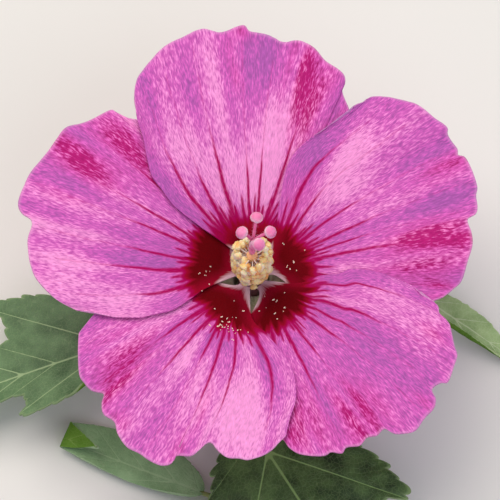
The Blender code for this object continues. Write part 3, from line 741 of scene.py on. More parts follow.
def tinted(clock, reach, places):
    """How strongly each point is tinted, from rows of (clock angle, reach in mm, half-width in degrees,
    half-length in mm, strength)."""
    tint = np.zeros(len(clock))
    for middle, far, wide, long, strength in places:
        aside = (np.degrees(clock) - middle + 180) % 360 - 180
        tint += strength * np.exp(-((aside / wide) ** 2) - ((reach / MM - far) / long) ** 2)
    return tint


def petal_tissue(name, violet_and_shade, pink, pale, hot, magenta, fringe, crimson, deep, roughness):
    """A petal's skin: fine crepe along the veins, paler and hotter places, vein streaks and the eye. The
    shading of its folds and crepe is painted light.
    """
    made, shader = material_of(name)
    where = add(made, "TexCoord", out="UV")
    # The crepe's wrinkles lie 0.3 to 0.6 mm apart, run for 1.5 to 3 mm, and waver from side to side
    bent = add(made, "TexNoise", {"Scale": 22.0, "Detail": 1.0}, {"Vector": where}, out="Color")
    bend = add(made, "VectorMath", {1: (0.008, 0.01, 0)}, {0: bent}, operation="MULTIPLY")
    warped = add(made, "VectorMath", links={0: where, 1: bend}, operation="ADD")
    wrinkles = []
    for scale in ((230, 36, 1), (105, 17, 1)):
        drawn = add(made, "Mapping", {"Scale": scale}, {"Vector": warped})
        wrinkle = add(made, "TexNoise", {"Scale": 1.0, "Detail": 2.0}, {"Vector": drawn})
        wrinkles.append(add(made, "MapRange", {1: 0.36, 2: 0.64}, {0: wrinkle}))
    half = add(made, "Math", {1: 0.5}, {0: wrinkles[1]}, operation="MULTIPLY")
    crepe = add(made, "Math", links={0: wrinkles[0], 1: half}, operation="ADD")
    crepe = add(made, "Math", {1: 0.67}, {0: crepe}, operation="MULTIPLY")
    painted = {}
    for kind in ("pale_tone_and_fold_shading", "flush", "streak", "eye", "claw", "margin"):
        painted[kind] = add(made, "Attribute", out="Fac", attribute_name=kind)
    # Painted light: the tone runs from violet to pale with the painted paleness and the crepe, so its violet
    # end is partly painted shade in hollows and creases and its pale end partly painted highlight on ridges
    lit = add(made, "Math", {1: 0.5}, {0: crepe, 2: painted["pale_tone_and_fold_shading"]}, operation="MULTIPLY_ADD")
    tone = add(made, "ValToRGB", links={"Fac": lit}, stops=((0.15, violet_and_shade), (0.88, pale), (0.5, pink)))
    # A flush is hot pink where it is faint and magenta where it is strong, and breaks up along the crepe
    uneven = add(made, "MapRange", {3: 1.65, 4: 0.35}, {0: crepe})
    flushed = add(made, "Math", links={0: painted["flush"], 1: uneven}, operation="MULTIPLY")
    heat = add(made, "ValToRGB", links={"Fac": flushed}, stops=((0.2, hot), (0.9, magenta)))
    much = add(made, "MapRange", {2: 1.1, 4: 0.9}, {0: flushed})
    tone = add(made, "Mix", links={0: much, 6: tone, 7: heat}, out=2, data_type="RGBA")
    # Painted shade and highlight: the crepe darkens the colour in its creases and lightens it on its crests
    shade = add(made, "MapRange", {3: 0.8, 4: 1.14}, {0: crepe})
    tone = add(made, "VectorMath", links={0: tone, 3: shade}, operation="SCALE")
    ragged = add(made, "MapRange", {3: 1.25, 4: 0.85}, {0: crepe})
    streak = painted["streak"]
    streaked = add(made, "Math", links={0: streak, 1: ragged}, operation="MULTIPLY", use_clamp=True)
    bleeding = add(made, "ValToRGB", links={"Fac": streak}, stops=((0.25, magenta), (0.9, fringe)))
    tone = add(made, "Mix", links={0: streaked, 6: tone, 7: bleeding}, out=2, data_type="RGBA")
    eye = painted["eye"]
    depth = add(made, "ValToRGB", links={"Fac": eye}, stops=((0.2, fringe), (1.0, deep), (0.5, crimson)))
    inside = add(made, "MapRange", {2: 0.25}, {0: eye}, interpolation_type="SMOOTHSTEP")
    tone = add(made, "Mix", links={0: inside, 6: tone, 7: depth}, out=2, data_type="RGBA")
    # The claws' borders are painted paler than their own pale mauve, as painted light in the shaded throat
    for kind, code in (("claw", "F0CCDA"), ("margin", "F8C4EA")):
        tone = add(made, "Mix", {7: code}, {0: painted[kind], 6: tone}, out=2, data_type="RGBA")
    raised = add(made, "Bump", {"Strength": 0.5, "Distance": 0.14 * MM}, {"Height": crepe})
    finish = {"Roughness": roughness, "IOR": 1.4, "Specular IOR Level": 0.07}
    finish |= {"Sheen Weight": 0.03, "Sheen Roughness": 0.4, "Sheen Tint": "FFD8F4"}
    plug(made, shader, finish, {"Base Color": tone, "Normal": raised})
    through = add(made, "BsdfTranslucent", links={"Color": tone, "Normal": raised})
    both = add(made, "MixShader", {0: 0.12}, {1: shader.outputs[0], 2: through})
    plug(made, made.node_tree.nodes["Material Output"], links={"Surface": both})
    return made


petal_face = petal_tissue(
    "petal_face", "B860B6", "DC66C4", "FCA0E0", "F04CAA", "BE0C72", "B0045C", "A0062C", "6C020C", 0.6)
petal_back = petal_tissue(
    "petal_back", "B878BC", "D890CC", "EEB4E0", "E878C0", "D460AC", "BC5A94", "9C3A66", "8A2A50", 0.75)

# Each petal's middle as a clock angle, how fast its hidden edge spreads, how far its eye reaches in mm and
# how deep it is, where the top petal's lighter eye is painted light shining through it. Its lapping edge and
# margin are rows of (clock angle, reach in mm) as the camera sees them.
# Its flushed and its paler places are rows that tinted takes, and it is more violet where a paler row is
# below 0.
# The paler rows are partly the petal's own tones and partly painted light: painted highlight where light
# catches the petal, and painted shade where it lies in shadow
PETALS = {
    "petal_top": {
        "centre": 2, "edge_spread": 0.47, "eye_reach": 14.4, "eye_depth_and_backlight": 0.5,
        "lapping_edge": (
            (-44, 10.6), (-48, 16.6), (-49, 23.5), (-47, 28.5), (-45.6, 32.4), (-42, 36.3), (-39, 39.8)),
        "margin": (
            (-37, 43.9), (-34, 48.5), (-31.6, 51.3), (-29, 52.9), (-22, 55.7), (-16.5, 56.6), (-11.5, 57.5),
            (-7.6, 55.9), (-2.3, 57.3), (-0.5, 55.9), (3.3, 55.4), (5.3, 54.7), (7.6, 53.8), (11.4, 54.7),
            (15.4, 53.6), (19, 51.8), (24, 50.8), (25.6, 49.5), (25.7, 47.8), (26.8, 46.5), (31, 43.5),
            (37, 39), (43, 34)),
        "flushed": (
            (12.8, 49.5, 2.4, 6, 0.7), (18, 43, 6, 10, 0.75), (24, 40, 5, 8, 0.4),
            (-6.6, 51.9, 1.5, 6, 0.5), (-2.3, 56, 2, 2, 0.5), (-4.6, 45, 1.5, 3, 0.35), (-41, 42, 4, 5, 0.3)),
        "paler_and_painted_light": (
            (-11.7, 47, 2.4, 13, 0.3), (0, 22, 24, 9, 0.5), (-30, 33, 8, 6, 0.25), (8, 34, 8, 8, 0.3),
            (4, 49, 7, 6, -0.2), (-20, 46, 3, 8, -0.2)),
    },
    "petal_right": {
        "centre": 72, "edge_spread": 0.46, "eye_reach": 14.8, "eye_depth_and_backlight": 0.95,
        "lapping_edge": ((30, 10.4), (22, 16.6), (18, 24.6), (20, 30.4), (27, 37.3)),
        "margin": (
            (31, 43.5), (31.5, 45.5), (33, 47.4), (34, 49.2), (38, 51.5), (43.8, 54.1), (49.7, 55.2),
            (53, 56.1), (54.5, 55.3), (58.4, 55.4), (60, 54.7), (61.7, 55.9), (68.2, 55.7), (70.5, 54.7),
            (73.5, 54.1), (75, 53.1), (75.9, 51.1), (79.4, 51.3), (82.6, 51.1), (86.6, 49.7), (91.6, 48.3),
            (94, 46.5), (96.5, 44.4), (98.5, 42.1), (104, 38), (112, 33)),
        "flushed": (
            (61.4, 51.8, 2.5, 8, 0.6), (79, 42, 5, 10, 0.9), (87, 38, 6, 9, 0.65), (94, 43.3, 4, 4, 0.5),
            (80.9, 49.1, 4, 3, 0.4), (30, 20, 9, 6, 0.3)),
        "paler_and_painted_light": (
            (38.9, 36.6, 4.5, 9, 0.45), (50, 29, 10, 9, 0.4), (88, 22, 8, 5, 0.3), (27, 31, 6, 8, -0.3),
            (67.5, 46.8, 4, 5, -0.2)),
    },
    "petal_lower_right": {
        "centre": 140, "edge_spread": 0.58, "eye_reach": 15.2, "eye_depth_and_backlight": 1,
        "lapping_edge": (
            (101.7, 10.8), (91.7, 15.6), (90, 20), (87, 23), (88.8, 28.1), (90.8, 31.7), (94, 36.3)),
        "margin": (
            (97, 39.1), (98.5, 42.1), (99.8, 43.5), (102, 44.2), (104, 46.7), (105.7, 47.6), (109.5, 49.5),
            (111.6, 50.8), (114.5, 51.1), (118.8, 51.5), (120, 50.1), (122.5, 49.2), (124, 51.1), (126.4, 52),
            (130, 51.8), (134, 52), (138, 49.6), (139.4, 46.9), (142, 46.9), (144.6, 46), (147.9, 46.7),
            (151.4, 45.5), (153.3, 46.2), (156, 44.9), (158, 45.1), (161, 44.4), (165.6, 42.6), (168, 40.7),
            (169.5, 38.6), (176, 35), (184, 30)),
        "flushed": (
            (139.8, 40.3, 5, 8, 0.55), (146.5, 41.6, 4, 8, 0.75), (158, 36.2, 7, 9, 0.6),
            (167.4, 37.9, 3, 5, 0.75), (107.8, 44.4, 3, 4, 0.3), (126.6, 49.3, 2.5, 4, 0.4)),
        "paler_and_painted_light": (
            (100, 33, 8, 8, 0.15), (104, 43, 6, 4, 0.25), (122, 32, 14, 8, -0.22), (118, 47, 6, 4, -0.15)),
    },
    "petal_lower_left": {
        "centre": 210, "edge_spread": 0.47, "eye_reach": 15, "eye_depth_and_backlight": 1,
        "lapping_edge": (
            (180, 10.1), (166.7, 14), (159, 19.3), (157, 23.5), (158.5, 27.6), (161, 31), (165.5, 34.7)),
        "margin": (
            (168, 38), (169.7, 38.9), (174.5, 41.2), (180.6, 42.8), (184, 42.6), (187.5, 42.6), (190.7, 41.4),
            (193.3, 40), (195, 40.5), (196.7, 42.6), (198.6, 44.2), (202.4, 45.3), (202.9, 47.4),
            (205.4, 48.8), (209, 49), (212, 48.8), (215.6, 49.2), (219.8, 48.1), (222.8, 46.5), (226.7, 46.9),
            (229.3, 45.5), (230.9, 43.9), (233.8, 45.5), (236.7, 46), (240.2, 45.8), (249.4, 42.6),
            (251.8, 41.2), (257, 36), (264, 30)),
        "flushed": (
            (238, 34, 8, 9, 0.6), (230.7, 40.7, 3.5, 7, 0.75), (222.5, 45.6, 3, 2.5, 0.5),
            (199.2, 34.3, 1.5, 6, 0.35), (202.3, 43.7, 2, 4, 0.35)),
        "paler_and_painted_light": (
            (182.8, 33, 13, 10, 0.65), (205, 30, 12, 9, 0.4), (215, 24, 12, 5, 0.3), (228, 36, 8, 6, 0.1)),
    },
    "petal_left": {
        "centre": 285, "edge_spread": 0.44, "eye_reach": 16.2, "eye_depth_and_backlight": 1,
        "lapping_edge": (
            (252.7, 10.8), (247.7, 15.2), (245.4, 20.2), (247.6, 25.3), (248.5, 27.8), (251.6, 32),
            (254.5, 35.4)),
        "margin": (
            (257, 38.5), (258.4, 41.2), (260, 42.8), (263, 46), (268.4, 49.5), (272.6, 51.1), (276, 51.8),
            (279, 52.2), (282.3, 51.8), (283.7, 52.6), (284.5, 54.6), (286.6, 56.2), (290.7, 56.1),
            (294.7, 56.1), (301, 54.7), (307.5, 54.5), (311, 52.4), (315, 50.8), (319, 49.7), (319.8, 48.6),
            (322.9, 44.4), (329, 40.5), (336, 35)),
        "flushed": (
            (315.5, 40, 4.5, 10, 0.95), (303.5, 50.7, 4, 7, 0.65), (304.6, 43, 5, 8, 0.5),
            (292, 47, 1.5, 6, 0.35), (318, 29, 6, 6, 0.2)),
        "paler_and_painted_light": (
            (322, 46, 3, 4, 0.5), (272, 42, 16, 9, 0.4), (255, 30, 12, 8, 0.4), (297, 46, 2.5, 6, -0.3),
            (283, 51, 3, 3, 0.3)),
    },
}

chance = np.random.default_rng(7)
petal_grids = {}
for name, petal in PETALS.items():
    seed = petal["centre"]
    centre = math.radians(seed)
    out = Vector((math.sin(centre), math.cos(centre)))
    clockwise = Vector((math.cos(centre), -math.sin(centre)))

    def from_throat(rows):
        """Rows of clock angle and reach as seen, laid on the petal: (out along its middle, to its side)."""
        points = [laid(math.radians(clock), seen_reach * MM, centre).xy for clock, seen_reach in rows]
        return [(point.dot(out), point.dot(clockwise)) for point in points]

    rim = smooth_line(from_throat(petal["margin"]), PETAL_COLUMNS + 1)
    edge_line = [(CLAW_START, -CLAW_HALF_WIDTH), *from_throat(petal["lapping_edge"]), rim[0]]
    edge_line = smooth_line(edge_line, 80)

    form = bmesh.new()
    form.loops.layers.uv.new("UVMap")
    bmesh.ops.create_grid(form, x_segments=PETAL_COLUMNS, y_segments=PETAL_ROWS, size=0.5, calc_uvs=True)
    flat = np.array([vert.co for vert in form.verts])
    column, row = flat[:, 0] + 0.5, flat[:, 1] + 0.5
    place = np.rint(column * PETAL_COLUMNS).astype(int)
    far, side = rim[place, 0], rim[place, 1]
    share = row**ROW_SPACING
    # The hidden edge keeps clear of the next petal's claw, so that a narrow gap is left beside it
    hidden_edge = share ** petal["edge_spread"] * (1 - np.exp(-((share / CLAW_SHARE) ** 2)))
    spread = share + (hidden_edge - share) * np.maximum(2 * column - 1, 0) ** EDGE_BLEND
    along = CLAW_START + (far - CLAW_START) * share
    sideways = side * spread + CLAW_HALF_WIDTH * (2 * column - 1) * (1 - spread)
    edge_share = (edge_line[:, 0] - CLAW_START) / (rim[0, 0] - CLAW_START)
    straight = rim[0, 1] * share - CLAW_HALF_WIDTH * (1 - share)
    bulge = np.interp(share, edge_share, edge_line[:, 1]) - straight
    sideways += bulge * np.maximum(1 - 2 * column, 0) ** EDGE_BLEND
    x = out.x * along + clockwise.x * sideways
    y = out.y * along + clockwise.y * sideways
    reach = np.hypot(x, y)
    z = petal_height(np.arctan2(x, y), reach, centre)
    across, up = as_seen(x, y, z)
    clock, seen_reach = np.arctan2(across, up), np.hypot(across, up)

    # Soft folds run along the veins, and a finer crinkle lies across them, both fading towards the throat
    outer = np.clip((reach - FOLDS_FROM) / FOLDS_FADE, 0, 1)
    fold = waves(column * 7, share * 1.1, seed)
    sharp = 1 - 2 * np.abs(waves(column * 13, share * 1.6, seed + 40))
    crinkle = waves(column * 46 + fold * 2, share * 10, seed + 80)
    ruffle = waves(column * 13, share * 2, seed + 120)
    z += (SOFT_FOLD * fold + SHARP_FOLD * sharp + CRINKLE * crinkle) * outer
    edge_curl = EDGE_CURL * np.clip(1 - column / EDGE_CURL_SHARE, 0, 1) ** 2 * outer
    z += RIM_RUFFLE * ruffle * share**5 + edge_curl
    for vert, point in zip(form.verts, zip(x, y, z)):
        vert.co = throat + Vector(point)
    petal_grids[name] = (x, y, z, across, up)

    # Streaks follow the veins out of the eye and taper away. A few are long, and the rest are short points
    feather = waves(column * 30, share * 2, seed + 9)
    eye_reach = petal["eye_reach"] * MM
    width_here = reach * STREAK_WIDENING
    streak = np.zeros(len(column))
    each_streak = [(number, *kind) for kind in STREAKS for number in range(kind[0])]
    for k, (number, count, shortest, longest, half_width, at_tip) in enumerate(each_streak):
        middle = VEINS_FROM + VEINS_SPREAD * (number + 0.5 + chance.uniform(-0.3, 0.3)) / count
        length = eye_reach + chance.uniform(shortest, longest) * MM
        thick = half_width * MM * chance.uniform(0.7, 1.25)
        gone = np.clip((seen_reach - eye_reach) / (length - eye_reach), 0, 1)
        wander = 0.004 * np.sin(share * 7 + k) + 0.001 * np.sin(share * 47 + 3 * k)
        off = np.abs(column + wander - middle) * width_here
        off /= thick * (1 - gone) ** 0.9 + STREAK_SOFTNESS
        strength = at_tip + (1 - at_tip) * np.clip(3 - 3 * gone, 0, 1)
        streak = np.maximum(streak, np.exp(-(off**3)) * strength)
    streak *= np.clip((seen_reach - STREAK_START) / STREAK_FADE, 0, 1) * np.clip((1.02 - share) * 6, 0, 1)

    grid = np.lexsort((column, row)).reshape(PETAL_ROWS + 1, PETAL_COLUMNS + 1)
    from_edge = np.empty(len(column))
    for ends in (0, -1):
        off = np.hypot(x[grid] - x[grid][:, [ends]], y[grid] - y[grid][:, [ends]])
        from_edge[grid] = off if ends == 0 else np.minimum(from_edge[grid], off)

    # The eye is deepest along the petal's middle. Beside the throat's gaps the claws have pale borders, their
    # own pale mauve painted paler still as painted light in the shaded throat
    eye = np.clip((eye_reach + FEATHER * feather - seen_reach) / EYE_BLEED, 0, 1)
    near = np.clip((EYE_HEART - seen_reach) / EYE_HEART_FADE, 0, 1)
    # Painted light: a depth below 1 makes the top petal's eye lighter and redder outside its heart, standing
    # in for light shining through that petal
    eye *= petal["eye_depth_and_backlight"] + (1 - petal["eye_depth_and_backlight"]) * near
    eye *= 0.5 + 0.5 * np.clip(from_edge / EYE_EDGE, 0, 1)
    eye *= 0.6 + 0.4 * np.clip((seen_reach - THROAT_REACH) / THROAT_FADE, 0, 1)
    streaky = 1 + 1.5 * waves(column * 26 + fold, share * 2, seed + 60)
    flush = tinted(clock, seen_reach, petal["flushed"]) * streaky
    flush += HALO_STRENGTH * np.clip(1 - (seen_reach - eye_reach) / HALO_WIDTH, 0, 1)
    # Painted light: the folds' ridges are painted paler and their hollows more violet, as painted highlight
    # and painted shade over their relief. The banded waves are the petal's own uneven tone
    banded = waves(column * 19, share * 1.3, seed + 200)
    pale_tone_and_fold_shading = 0.2 + 0.26 * fold + 0.26 * banded + 0.12 * (sharp - 0.6)
    pale_tone_and_fold_shading += tinted(clock, seen_reach, petal["paler_and_painted_light"])
    border = CLAW_BORDER * (1.15 - seen_reach / CLAW_PALE_REACH) * (1 + 0.5 * feather)
    claw = np.clip(1.5 - from_edge / np.maximum(border, 0.1 * MM), 0, 1)
    claw *= np.clip((CLAW_PALE_REACH - seen_reach) / CLAW_PALE_FADE, 0, 1)

    piece = shown(name + "_silk", form, petal_face, petal_back)
    margin = np.clip((share - RIM_START) / 0.01, 0, 1) * RIM_STRENGTH
    painted = {"pale_tone_and_fold_shading": pale_tone_and_fold_shading, "flush": flush, "streak": streak, "eye": eye, "claw": claw * 0.9}
    for kind, values in (painted | {"margin": margin}).items():
        paint(piece, kind, values)
    thicken(piece, PETAL_THICKNESS)
    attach(piece, "root")
    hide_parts(name)

# Staminal column
# All the filaments are fused into one tube that stands up from the petals' claws. Free ends spring from it
# on every side, each with a kidney-shaped anther that has burst and is covered in cream pollen.

# The tube's axis as (height above the throat, lean towards -Y, radius), in mm
COLUMN_TUBE = (
    (-10.7, 0, 3.1), (-7, 0, 3.3), (-2.5, 0, 2.6), (0, 0, 2.5), (3, 0.3, 1.8), (9, 0.9, 1.5), (18, 1.9, 1.2))
ANTHERS = 100
ANTHER_LOW = 2.9 * MM
ANTHER_HIGH = 16.6 * MM
ANTHER_REACH_LOW = 4.1 * MM
ANTHER_REACH_HIGH = 3.8 * MM
ANTHER_SCATTER = 0.1
ANTHER_TILT_LOW = 0.15
ANTHER_TILT_HIGH = 0.65
ANTHER_LENGTH = 0.98 * MM
ANTHER_DRAWN_IN = 0.45
# Below 1, the anthers stand closer together towards the column's tip
ANTHER_CROWDING = 0.64
# The flesh's colours run from the throat up to this height
TINT_HEIGHT = 18.5 * MM
FILAMENT_RADIUS = 0.12 * MM
GOLDEN_TURN = math.radians(137.508)


def column_axis(height):
    """The point on the staminal column's axis at this height above the throat."""
    heights = [row[0] * MM for row in COLUMN_TUBE]
    leans = [row[1] * MM for row in COLUMN_TUBE]
    return Vector((0, -np.interp(height, heights, leans), height))


def waxy_flesh(name, stops):
    """Moist, waxy tissue that lets some light through, with its colour by the height above the throat."""
    made, shader = material_of(name)
    where = add(made, "TexCoord", out="Object")
    lengthways = add(made, "Mapping", {"Scale": (900, 900, 90)}, {"Vector": where})
    lines = add(made, "TexNoise", {"Scale": 1.0, "Detail": 3.0}, {"Vector": lengthways})
    height = add(made, "SeparateXYZ", links={0: where}, out="Z")
    climb = add(made, "MapRange", {1: throat.z, 2: throat.z + TINT_HEIGHT}, {0: height})
    tone = add(made, "ValToRGB", links={"Fac": climb}, stops=stops)
    raised = add(made, "Bump", {"Strength": 0.3, "Distance": 0.1 * MM}, {"Height": lines})
    finish = {"Roughness": 0.45, "Subsurface Weight": 0.25, "Subsurface Radius": (1.0, 0.6, 0.5)}
    finish |= {"Subsurface Scale": 0.6 * MM}
    plug(made, shader, finish, {"Base Color": tone, "Normal": raised})
    return made


# The tube is mauve-pink at its foot and peach at its tip, and the thin filaments are nearly white
tube_flesh = waxy_flesh("tube_flesh", ((0.0, "C68CA4"), (1.0, "F2B074"), (0.5, "E0B4B8"), (0.85, "F6D2B4")))
filament_flesh = waxy_flesh("filament_flesh", ((0.0, "E8C4D4"), (1.0, "FBF2EE")))

rings = smooth_line(COLUMN_TUBE, 70)
tube_points = [throat + Vector((0, -lean * MM, height * MM)) for height, lean, _ in rings]
tube_radii = rings[:, 2] * MM
tube_radii[-2:] *= (0.8, 0.5)
form = limb(tube_points, tube_radii, 40, lambda turn, share: 0.07 * MM * math.sin(turn * 5))
piece = shown("column_tube", form, tube_flesh)
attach(piece, "root")
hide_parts("staminal_column")

pollen_cream, shader = material_of("burst_anther")
# A burst anther is dull, granular cream with golden patches, and its grains let a little light through
where = add(pollen_cream, "TexCoord", out="Object")
grains = add(pollen_cream, "TexVoronoi", {"Scale": 2600.0}, {"Vector": where})
clumps = add(pollen_cream, "TexNoise", {"Scale": 360.0, "Detail": 3.0}, {"Vector": where})
cream = add(pollen_cream, "ValToRGB", links={"Fac": clumps}, stops=(
    (0.32, "F0B264"), (0.62, "FFF4CA"), (0.46, "FBDC94")))
raised = add(pollen_cream, "Bump", {"Strength": 0.5, "Distance": 0.12 * MM}, {"Height": grains}, invert=True)
finish = {"Roughness": 0.8, "Sheen Weight": 0.2, "Subsurface Weight": 0.35}
finish |= {"Subsurface Radius": (1.0, 0.5, 0.25), "Subsurface Scale": 0.8 * MM}
plug(pollen_cream, shader, finish, {"Base Color": cream, "Normal": raised})

kidney = bmesh.new()
bmesh.ops.create_icosphere(kidney, subdivisions=3, radius=1)
for vert in kidney.verts:
    bumps = 1 + 0.34 * noise.noise(vert.co * 2.6)
    x, y, z = vert.co * bumps
    waist = 1 - 0.2 * math.exp(-((x / 0.3) ** 2)) * (z > 0)
    vert.co = Vector((x, y * 0.84 + 0.25 * x * x - 0.08, z * 0.8 * waist)) * ANTHER_LENGTH
kidney_mesh = bpy.data.meshes.new("kidney")
kidney.to_mesh(kidney_mesh)
kidney.free()

anthers, filaments = bmesh.new(), bmesh.new()
for k in range(ANTHERS):
    share = ((k + 0.5) / ANTHERS) ** ANTHER_CROWDING
    height = ANTHER_LOW + (ANTHER_HIGH - ANTHER_LOW) * share
    reach = ANTHER_REACH_LOW + (ANTHER_REACH_HIGH - ANTHER_REACH_LOW) * share**2
    tilt = ANTHER_TILT_LOW + (ANTHER_TILT_HIGH - ANTHER_TILT_LOW) * share**3
    outward = Vector((math.cos(k * GOLDEN_TURN), math.sin(k * GOLDEN_TURN), tilt))
    root = throat + column_axis(height)
    drawn_in = ANTHER_DRAWN_IN * share * chance.uniform(0, 1) ** 1.5
    tip = root + outward * reach * (1 - drawn_in + ANTHER_SCATTER * math.sin(3 * k * GOLDEN_TURN))
    line = smooth_line((root, root.lerp(tip, 0.5) - Vector((0, 0, 0.3 * MM)), tip), 8)
    gather(filaments, limb(line, np.linspace(1.3, 0.8, 8) * FILAMENT_RADIUS, 6))
    facing = outward.normalized().to_track_quat("Y", "Z").to_matrix().to_4x4()
    roll = Matrix.Rotation(chance.uniform(-1.6, 1.6), 4, "Y")
    grown = Matrix.Scale(chance.uniform(0.82, 1.18), 4)
    kept = len(anthers.verts)
    anthers.from_mesh(kidney_mesh)
    anthers.verts.ensure_lookup_table()
    moved = anthers.verts[kept:]
    bmesh.ops.transform(anthers, matrix=Matrix.Translation(tip) @ facing @ roll @ grown, verts=moved)

for name, form, made_of in (("filaments", filaments, filament_flesh), ("anthers", anthers, pollen_cream)):
    piece = shown(name, form, made_of)
    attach(piece, "root")
    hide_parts("staminal_column")

# Spilt pollen
# Pollen that has dropped from the anthers lies in pale grains and small clumps on the lower petals' eyes.

GRAIN_RADIUS = 0.15 * MM
# Each spill's petal, its place as seen (across, up, in mm), how widely it is strewn, and its clumps
SPILLS = (
    ("petal_lower_left", -5.8, -11.2, 1.9, 20), ("petal_lower_left", -3.6, -12, 1.5, 10),
    ("petal_left", -10.5, -1.2, 1.6, 9), ("petal_lower_right", 6.5, -8.6, 2.2, 10),
    ("petal_right", 10, 3, 2.4, 6))

grains = bmesh.new()
for name, spill_across, spill_up, strewn, count in SPILLS:
    x, y, z, across, up = petal_grids[name]
    for _ in range(count):
        drop = Vector(chance.normal(0, strewn, 2)) + Vector((spill_across, spill_up))
        nearest = np.argmin(np.hypot(across - drop.x * MM, up - drop.y * MM))
        point = throat + Vector((x[nearest], y[nearest], z[nearest] + PETAL_THICKNESS / 2))
        size = GRAIN_RADIUS * chance.uniform(0.6, 1.2)
        for _ in range(chance.integers(1, 4)):
            jitter = Vector(chance.uniform(-1.4, 1.4, 3)) * size
            jitter.z = size * 0.3
            lies = Matrix.Translation(point + jitter)
            bmesh.ops.create_icosphere(grains, subdivisions=1, radius=size, matrix=lies)
# Spilt grains are paler and pinker, with the petal's colour shining through them
spilt_grain, shader = material_of("spilt_grain")
finish = {"Base Color": "FFE2D2", "Roughness": 0.55, "Subsurface Weight": 0.3}
finish |= {"Subsurface Radius": (1.0, 0.5, 0.4), "Subsurface Scale": 0.2 * MM}
plug(spilt_grain, shader, finish)
piece = shown("spilt_pollen", grains, spilt_grain)
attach(piece, "root")

# Styles
# Five hairy pink styles rise in one bundle from the column's tip and part, and each bears a round stigma,
# a velvety cap with a rim of sticky papillae.

# Each stigma's place as (across, towards +Y, height above the throat), in mm
STIGMAS = ((1.0, 3.5, 26.6), (-2.2, 0.2, 26.0), (4.0, 0.2, 26.4), (1.5, -2.6, 26.2), (0.7, -1.2, 23.0))
STIGMA_RADIUS = 1.4 * MM
STYLE_RADIUS = 0.34 * MM
STYLE_BEND = 0.9 * MM
BUNDLE_RADIUS = 0.7 * MM
BUNDLE_BACK = 0.4 * MM
BUNDLE_LEAN = (0.2 * MM, 1.1 * MM)
STYLE_START = 17.9 * MM
STYLE_FORK = 22 * MM
HAIRS = 150
HAIR_LENGTH = 0.6 * MM
HAIR_RADIUS = 0.035 * MM

style_pink, shader = material_of("velvet_style")
# Styles and stigmas are moist pink velvet, whose short hairs catch the light in a paler rim; on the stigmas
# that rim is painted into the colour as painted sheen
where = add(style_pink, "TexCoord", out="Object")
nap = add(style_pink, "TexVoronoi", {"Scale": 3600.0}, {"Vector": where})
blush = add(style_pink, "TexNoise", {"Scale": 500.0, "Detail": 2.0}, {"Vector": where})
tone = add(style_pink, "ValToRGB", links={"Fac": blush}, stops=((0.35, "E2609E"), (0.65, "F488BC")))
painted_sheen_rim = add(style_pink, "Attribute", out="Fac", attribute_name="rim")
tone = add(style_pink, "Mix", {7: "FFD2E6"}, {0: painted_sheen_rim, 6: tone}, out=2, data_type="RGBA")
raised = add(style_pink, "Bump", {"Strength": 0.6, "Distance": 0.1 * MM}, {"Height": nap}, invert=True)
finish = {"Roughness": 0.6, "Sheen Weight": 0.8, "Sheen Roughness": 0.4, "Sheen Tint": "FFD9EC"}
finish |= {"Subsurface Weight": 0.25, "Subsurface Radius": (1.0, 0.35, 0.5), "Subsurface Scale": 0.8 * MM}
plug(style_pink, shader, finish, {"Base Color": tone, "Normal": raised})

foot = column_axis(STYLE_START)
foot.y += BUNDLE_BACK
fork = foot + Vector((*BUNDLE_LEAN, STYLE_FORK - STYLE_START))
shafts, caps, hairs = bmesh.new(), bmesh.new(), bmesh.new()
lines, rims = [], []
for across, towards, height in STIGMAS:
    stigma = Vector((across, towards, height)) * MM
    bend = fork.lerp(stigma, 0.45) + Vector((0, 0, STYLE_BEND))
    lines.append(smooth_line((foot.lerp(fork, 0.3), fork, bend, stigma), 34))
lines.append(smooth_line((foot, foot.lerp(fork, 0.5), fork), 20))
for i, line in enumerate(lines):
    thick = BUNDLE_RADIUS if i == len(STIGMAS) else STYLE_RADIUS
    gather(shafts, limb([throat + Vector(point) for point in line], [thick] * len(line), 18))
    for _ in range(HAIRS):
        at = chance.uniform(1, len(line) - 3)
        low, high = Vector(line[int(at)]), Vector(line[int(at) + 1])
        ahead = (high - low).normalized()
        aside = ahead.cross(Vector(chance.normal(0, 1, 3))).normalized()
        root = throat + low.lerp(high, at % 1) + aside * thick * 0.8
        lean = (aside + ahead * chance.uniform(-0.3, 0.6)).normalized()
        turned = lean.to_track_quat("Z", "X").to_matrix().to_4x4()
        long = HAIR_LENGTH * chance.uniform(0.5, 1.1)
        bmesh.ops.create_cone(hairs, segments=3, radius1=HAIR_RADIUS, radius2=HAIR_RADIUS * 0.3, depth=long,
                              cap_ends=True, matrix=Matrix.Translation(root + lean * long / 2) @ turned)
for i, (across, towards, height) in enumerate(STIGMAS):
    stigma = throat + Vector((across, towards, height)) * MM
    ahead = Vector(lines[i][-1] - lines[i][-4]).normalized()
    turned = ahead.lerp(Vector((0, -0.3, 1)), 0.5).to_track_quat("Z", "X").to_matrix().to_4x4()
    cap = bmesh.new()
    bmesh.ops.create_icosphere(cap, subdivisions=5, radius=1)
    for vert in cap.verts:
        x, y, z = vert.co
        # The cap's equator is painted paler as painted sheen, and also gets the papillae's rougher relief
        rim = math.exp(-(((z - 0.05) / 0.42) ** 2))
        rims.append(rim * 0.85)
        rough = 0.14 * rim * noise.noise(vert.co * 24 + Vector((5, 5, 5)))
        papilla = 0.05 * noise.noise(vert.co * 16) + rough
        swell = 1 + papilla - 0.22 * max(-z, 0)
        vert.co = Vector((x, y, z * (0.82 if z > 0 else 0.7))) * swell * STIGMA_RADIUS
    bmesh.ops.transform(cap, matrix=Matrix.Translation(stigma) @ turned, verts=cap.verts)
    gather(caps, cap)
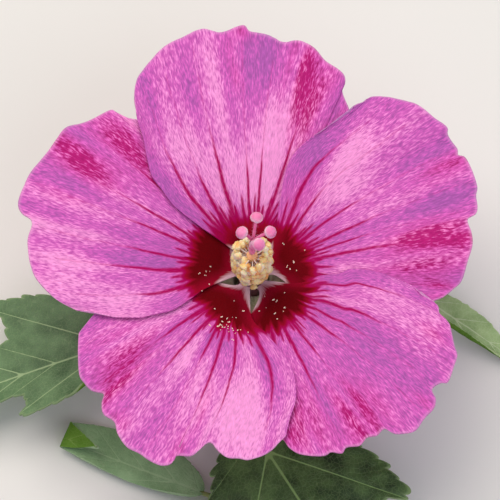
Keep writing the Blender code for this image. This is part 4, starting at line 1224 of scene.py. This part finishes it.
for name, form in (("styles_shafts", shafts), ("styles_hairs", hairs), ("stigmas", caps)):
    piece = shown(name, form, style_pink)
    if name == "stigmas":
        paint(piece, "rim", rims)
    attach(piece, "root")
    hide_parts("styles")

# Floor, light and camera
# The shoot lies on a plain pale surface in soft studio light, and the camera looks down into the bloom.

form = bmesh.new()
bmesh.ops.create_grid(form, x_segments=1, y_segments=1, size=2)
floor_paint, shader = material_of("pale_floor")
plug(floor_paint, shader, {"Base Color": "E4E3DF", "Roughness": 0.9})
floor = shown("floor", form, floor_paint)

# A large soft lamp behind the bloom and a fainter one before it: place, width, power and colour
LIGHTS = (
    ("key", (-0.2, 0.38, 0.85), 0.8, 7.3, "FFF6EC"),
    ("fill", (0.5, -0.45, 0.65), 0.9, 2.7, "EEF2FF"),
)
for name, place, wide, power, tint in LIGHTS:
    lamp = bpy.data.lights.new(name, "AREA")
    lamp.size = wide
    lamp.energy = power
    lamp.color = colour(tint)[:3]
    made = bpy.data.objects.new(name, lamp)
    bpy.context.scene.collection.objects.link(made)
    made.location = place
    made.rotation_euler = (throat - Vector(place)).to_track_quat("-Z", "Y").to_euler()

world = bpy.data.worlds.new("soft_daylight")
bpy.context.scene.world = world
world.use_nodes = True
plug(world, world.node_tree.nodes["Background"], {"Color": "F2F5FA", "Strength": 0.42})

# The picture's middle lies this far across and up from the throat, as the camera sees it
AIM = (-0.46 * MM, 5.5 * MM)
# How much the picture takes in across the throat
FRAME_WIDTH = 115 * MM
SENSOR = 36
camera_data = bpy.data.cameras.new("camera")
camera_data.sensor_width = SENSOR
camera_data.lens = SENSOR * VIEW_DISTANCE / FRAME_WIDTH
camera = bpy.data.objects.new("camera", camera_data)
bpy.context.scene.collection.objects.link(camera)
camera.location = throat + EYE
aimed_at = throat + Vector((AIM[0], AIM[1] * math.cos(VIEW_TILT), AIM[1] * math.sin(VIEW_TILT)))
camera.rotation_euler = (aimed_at - camera.location).to_track_quat("-Z", "Y").to_euler()
bpy.context.scene.camera = camera
bpy.context.scene.view_settings.view_transform = "Standard"
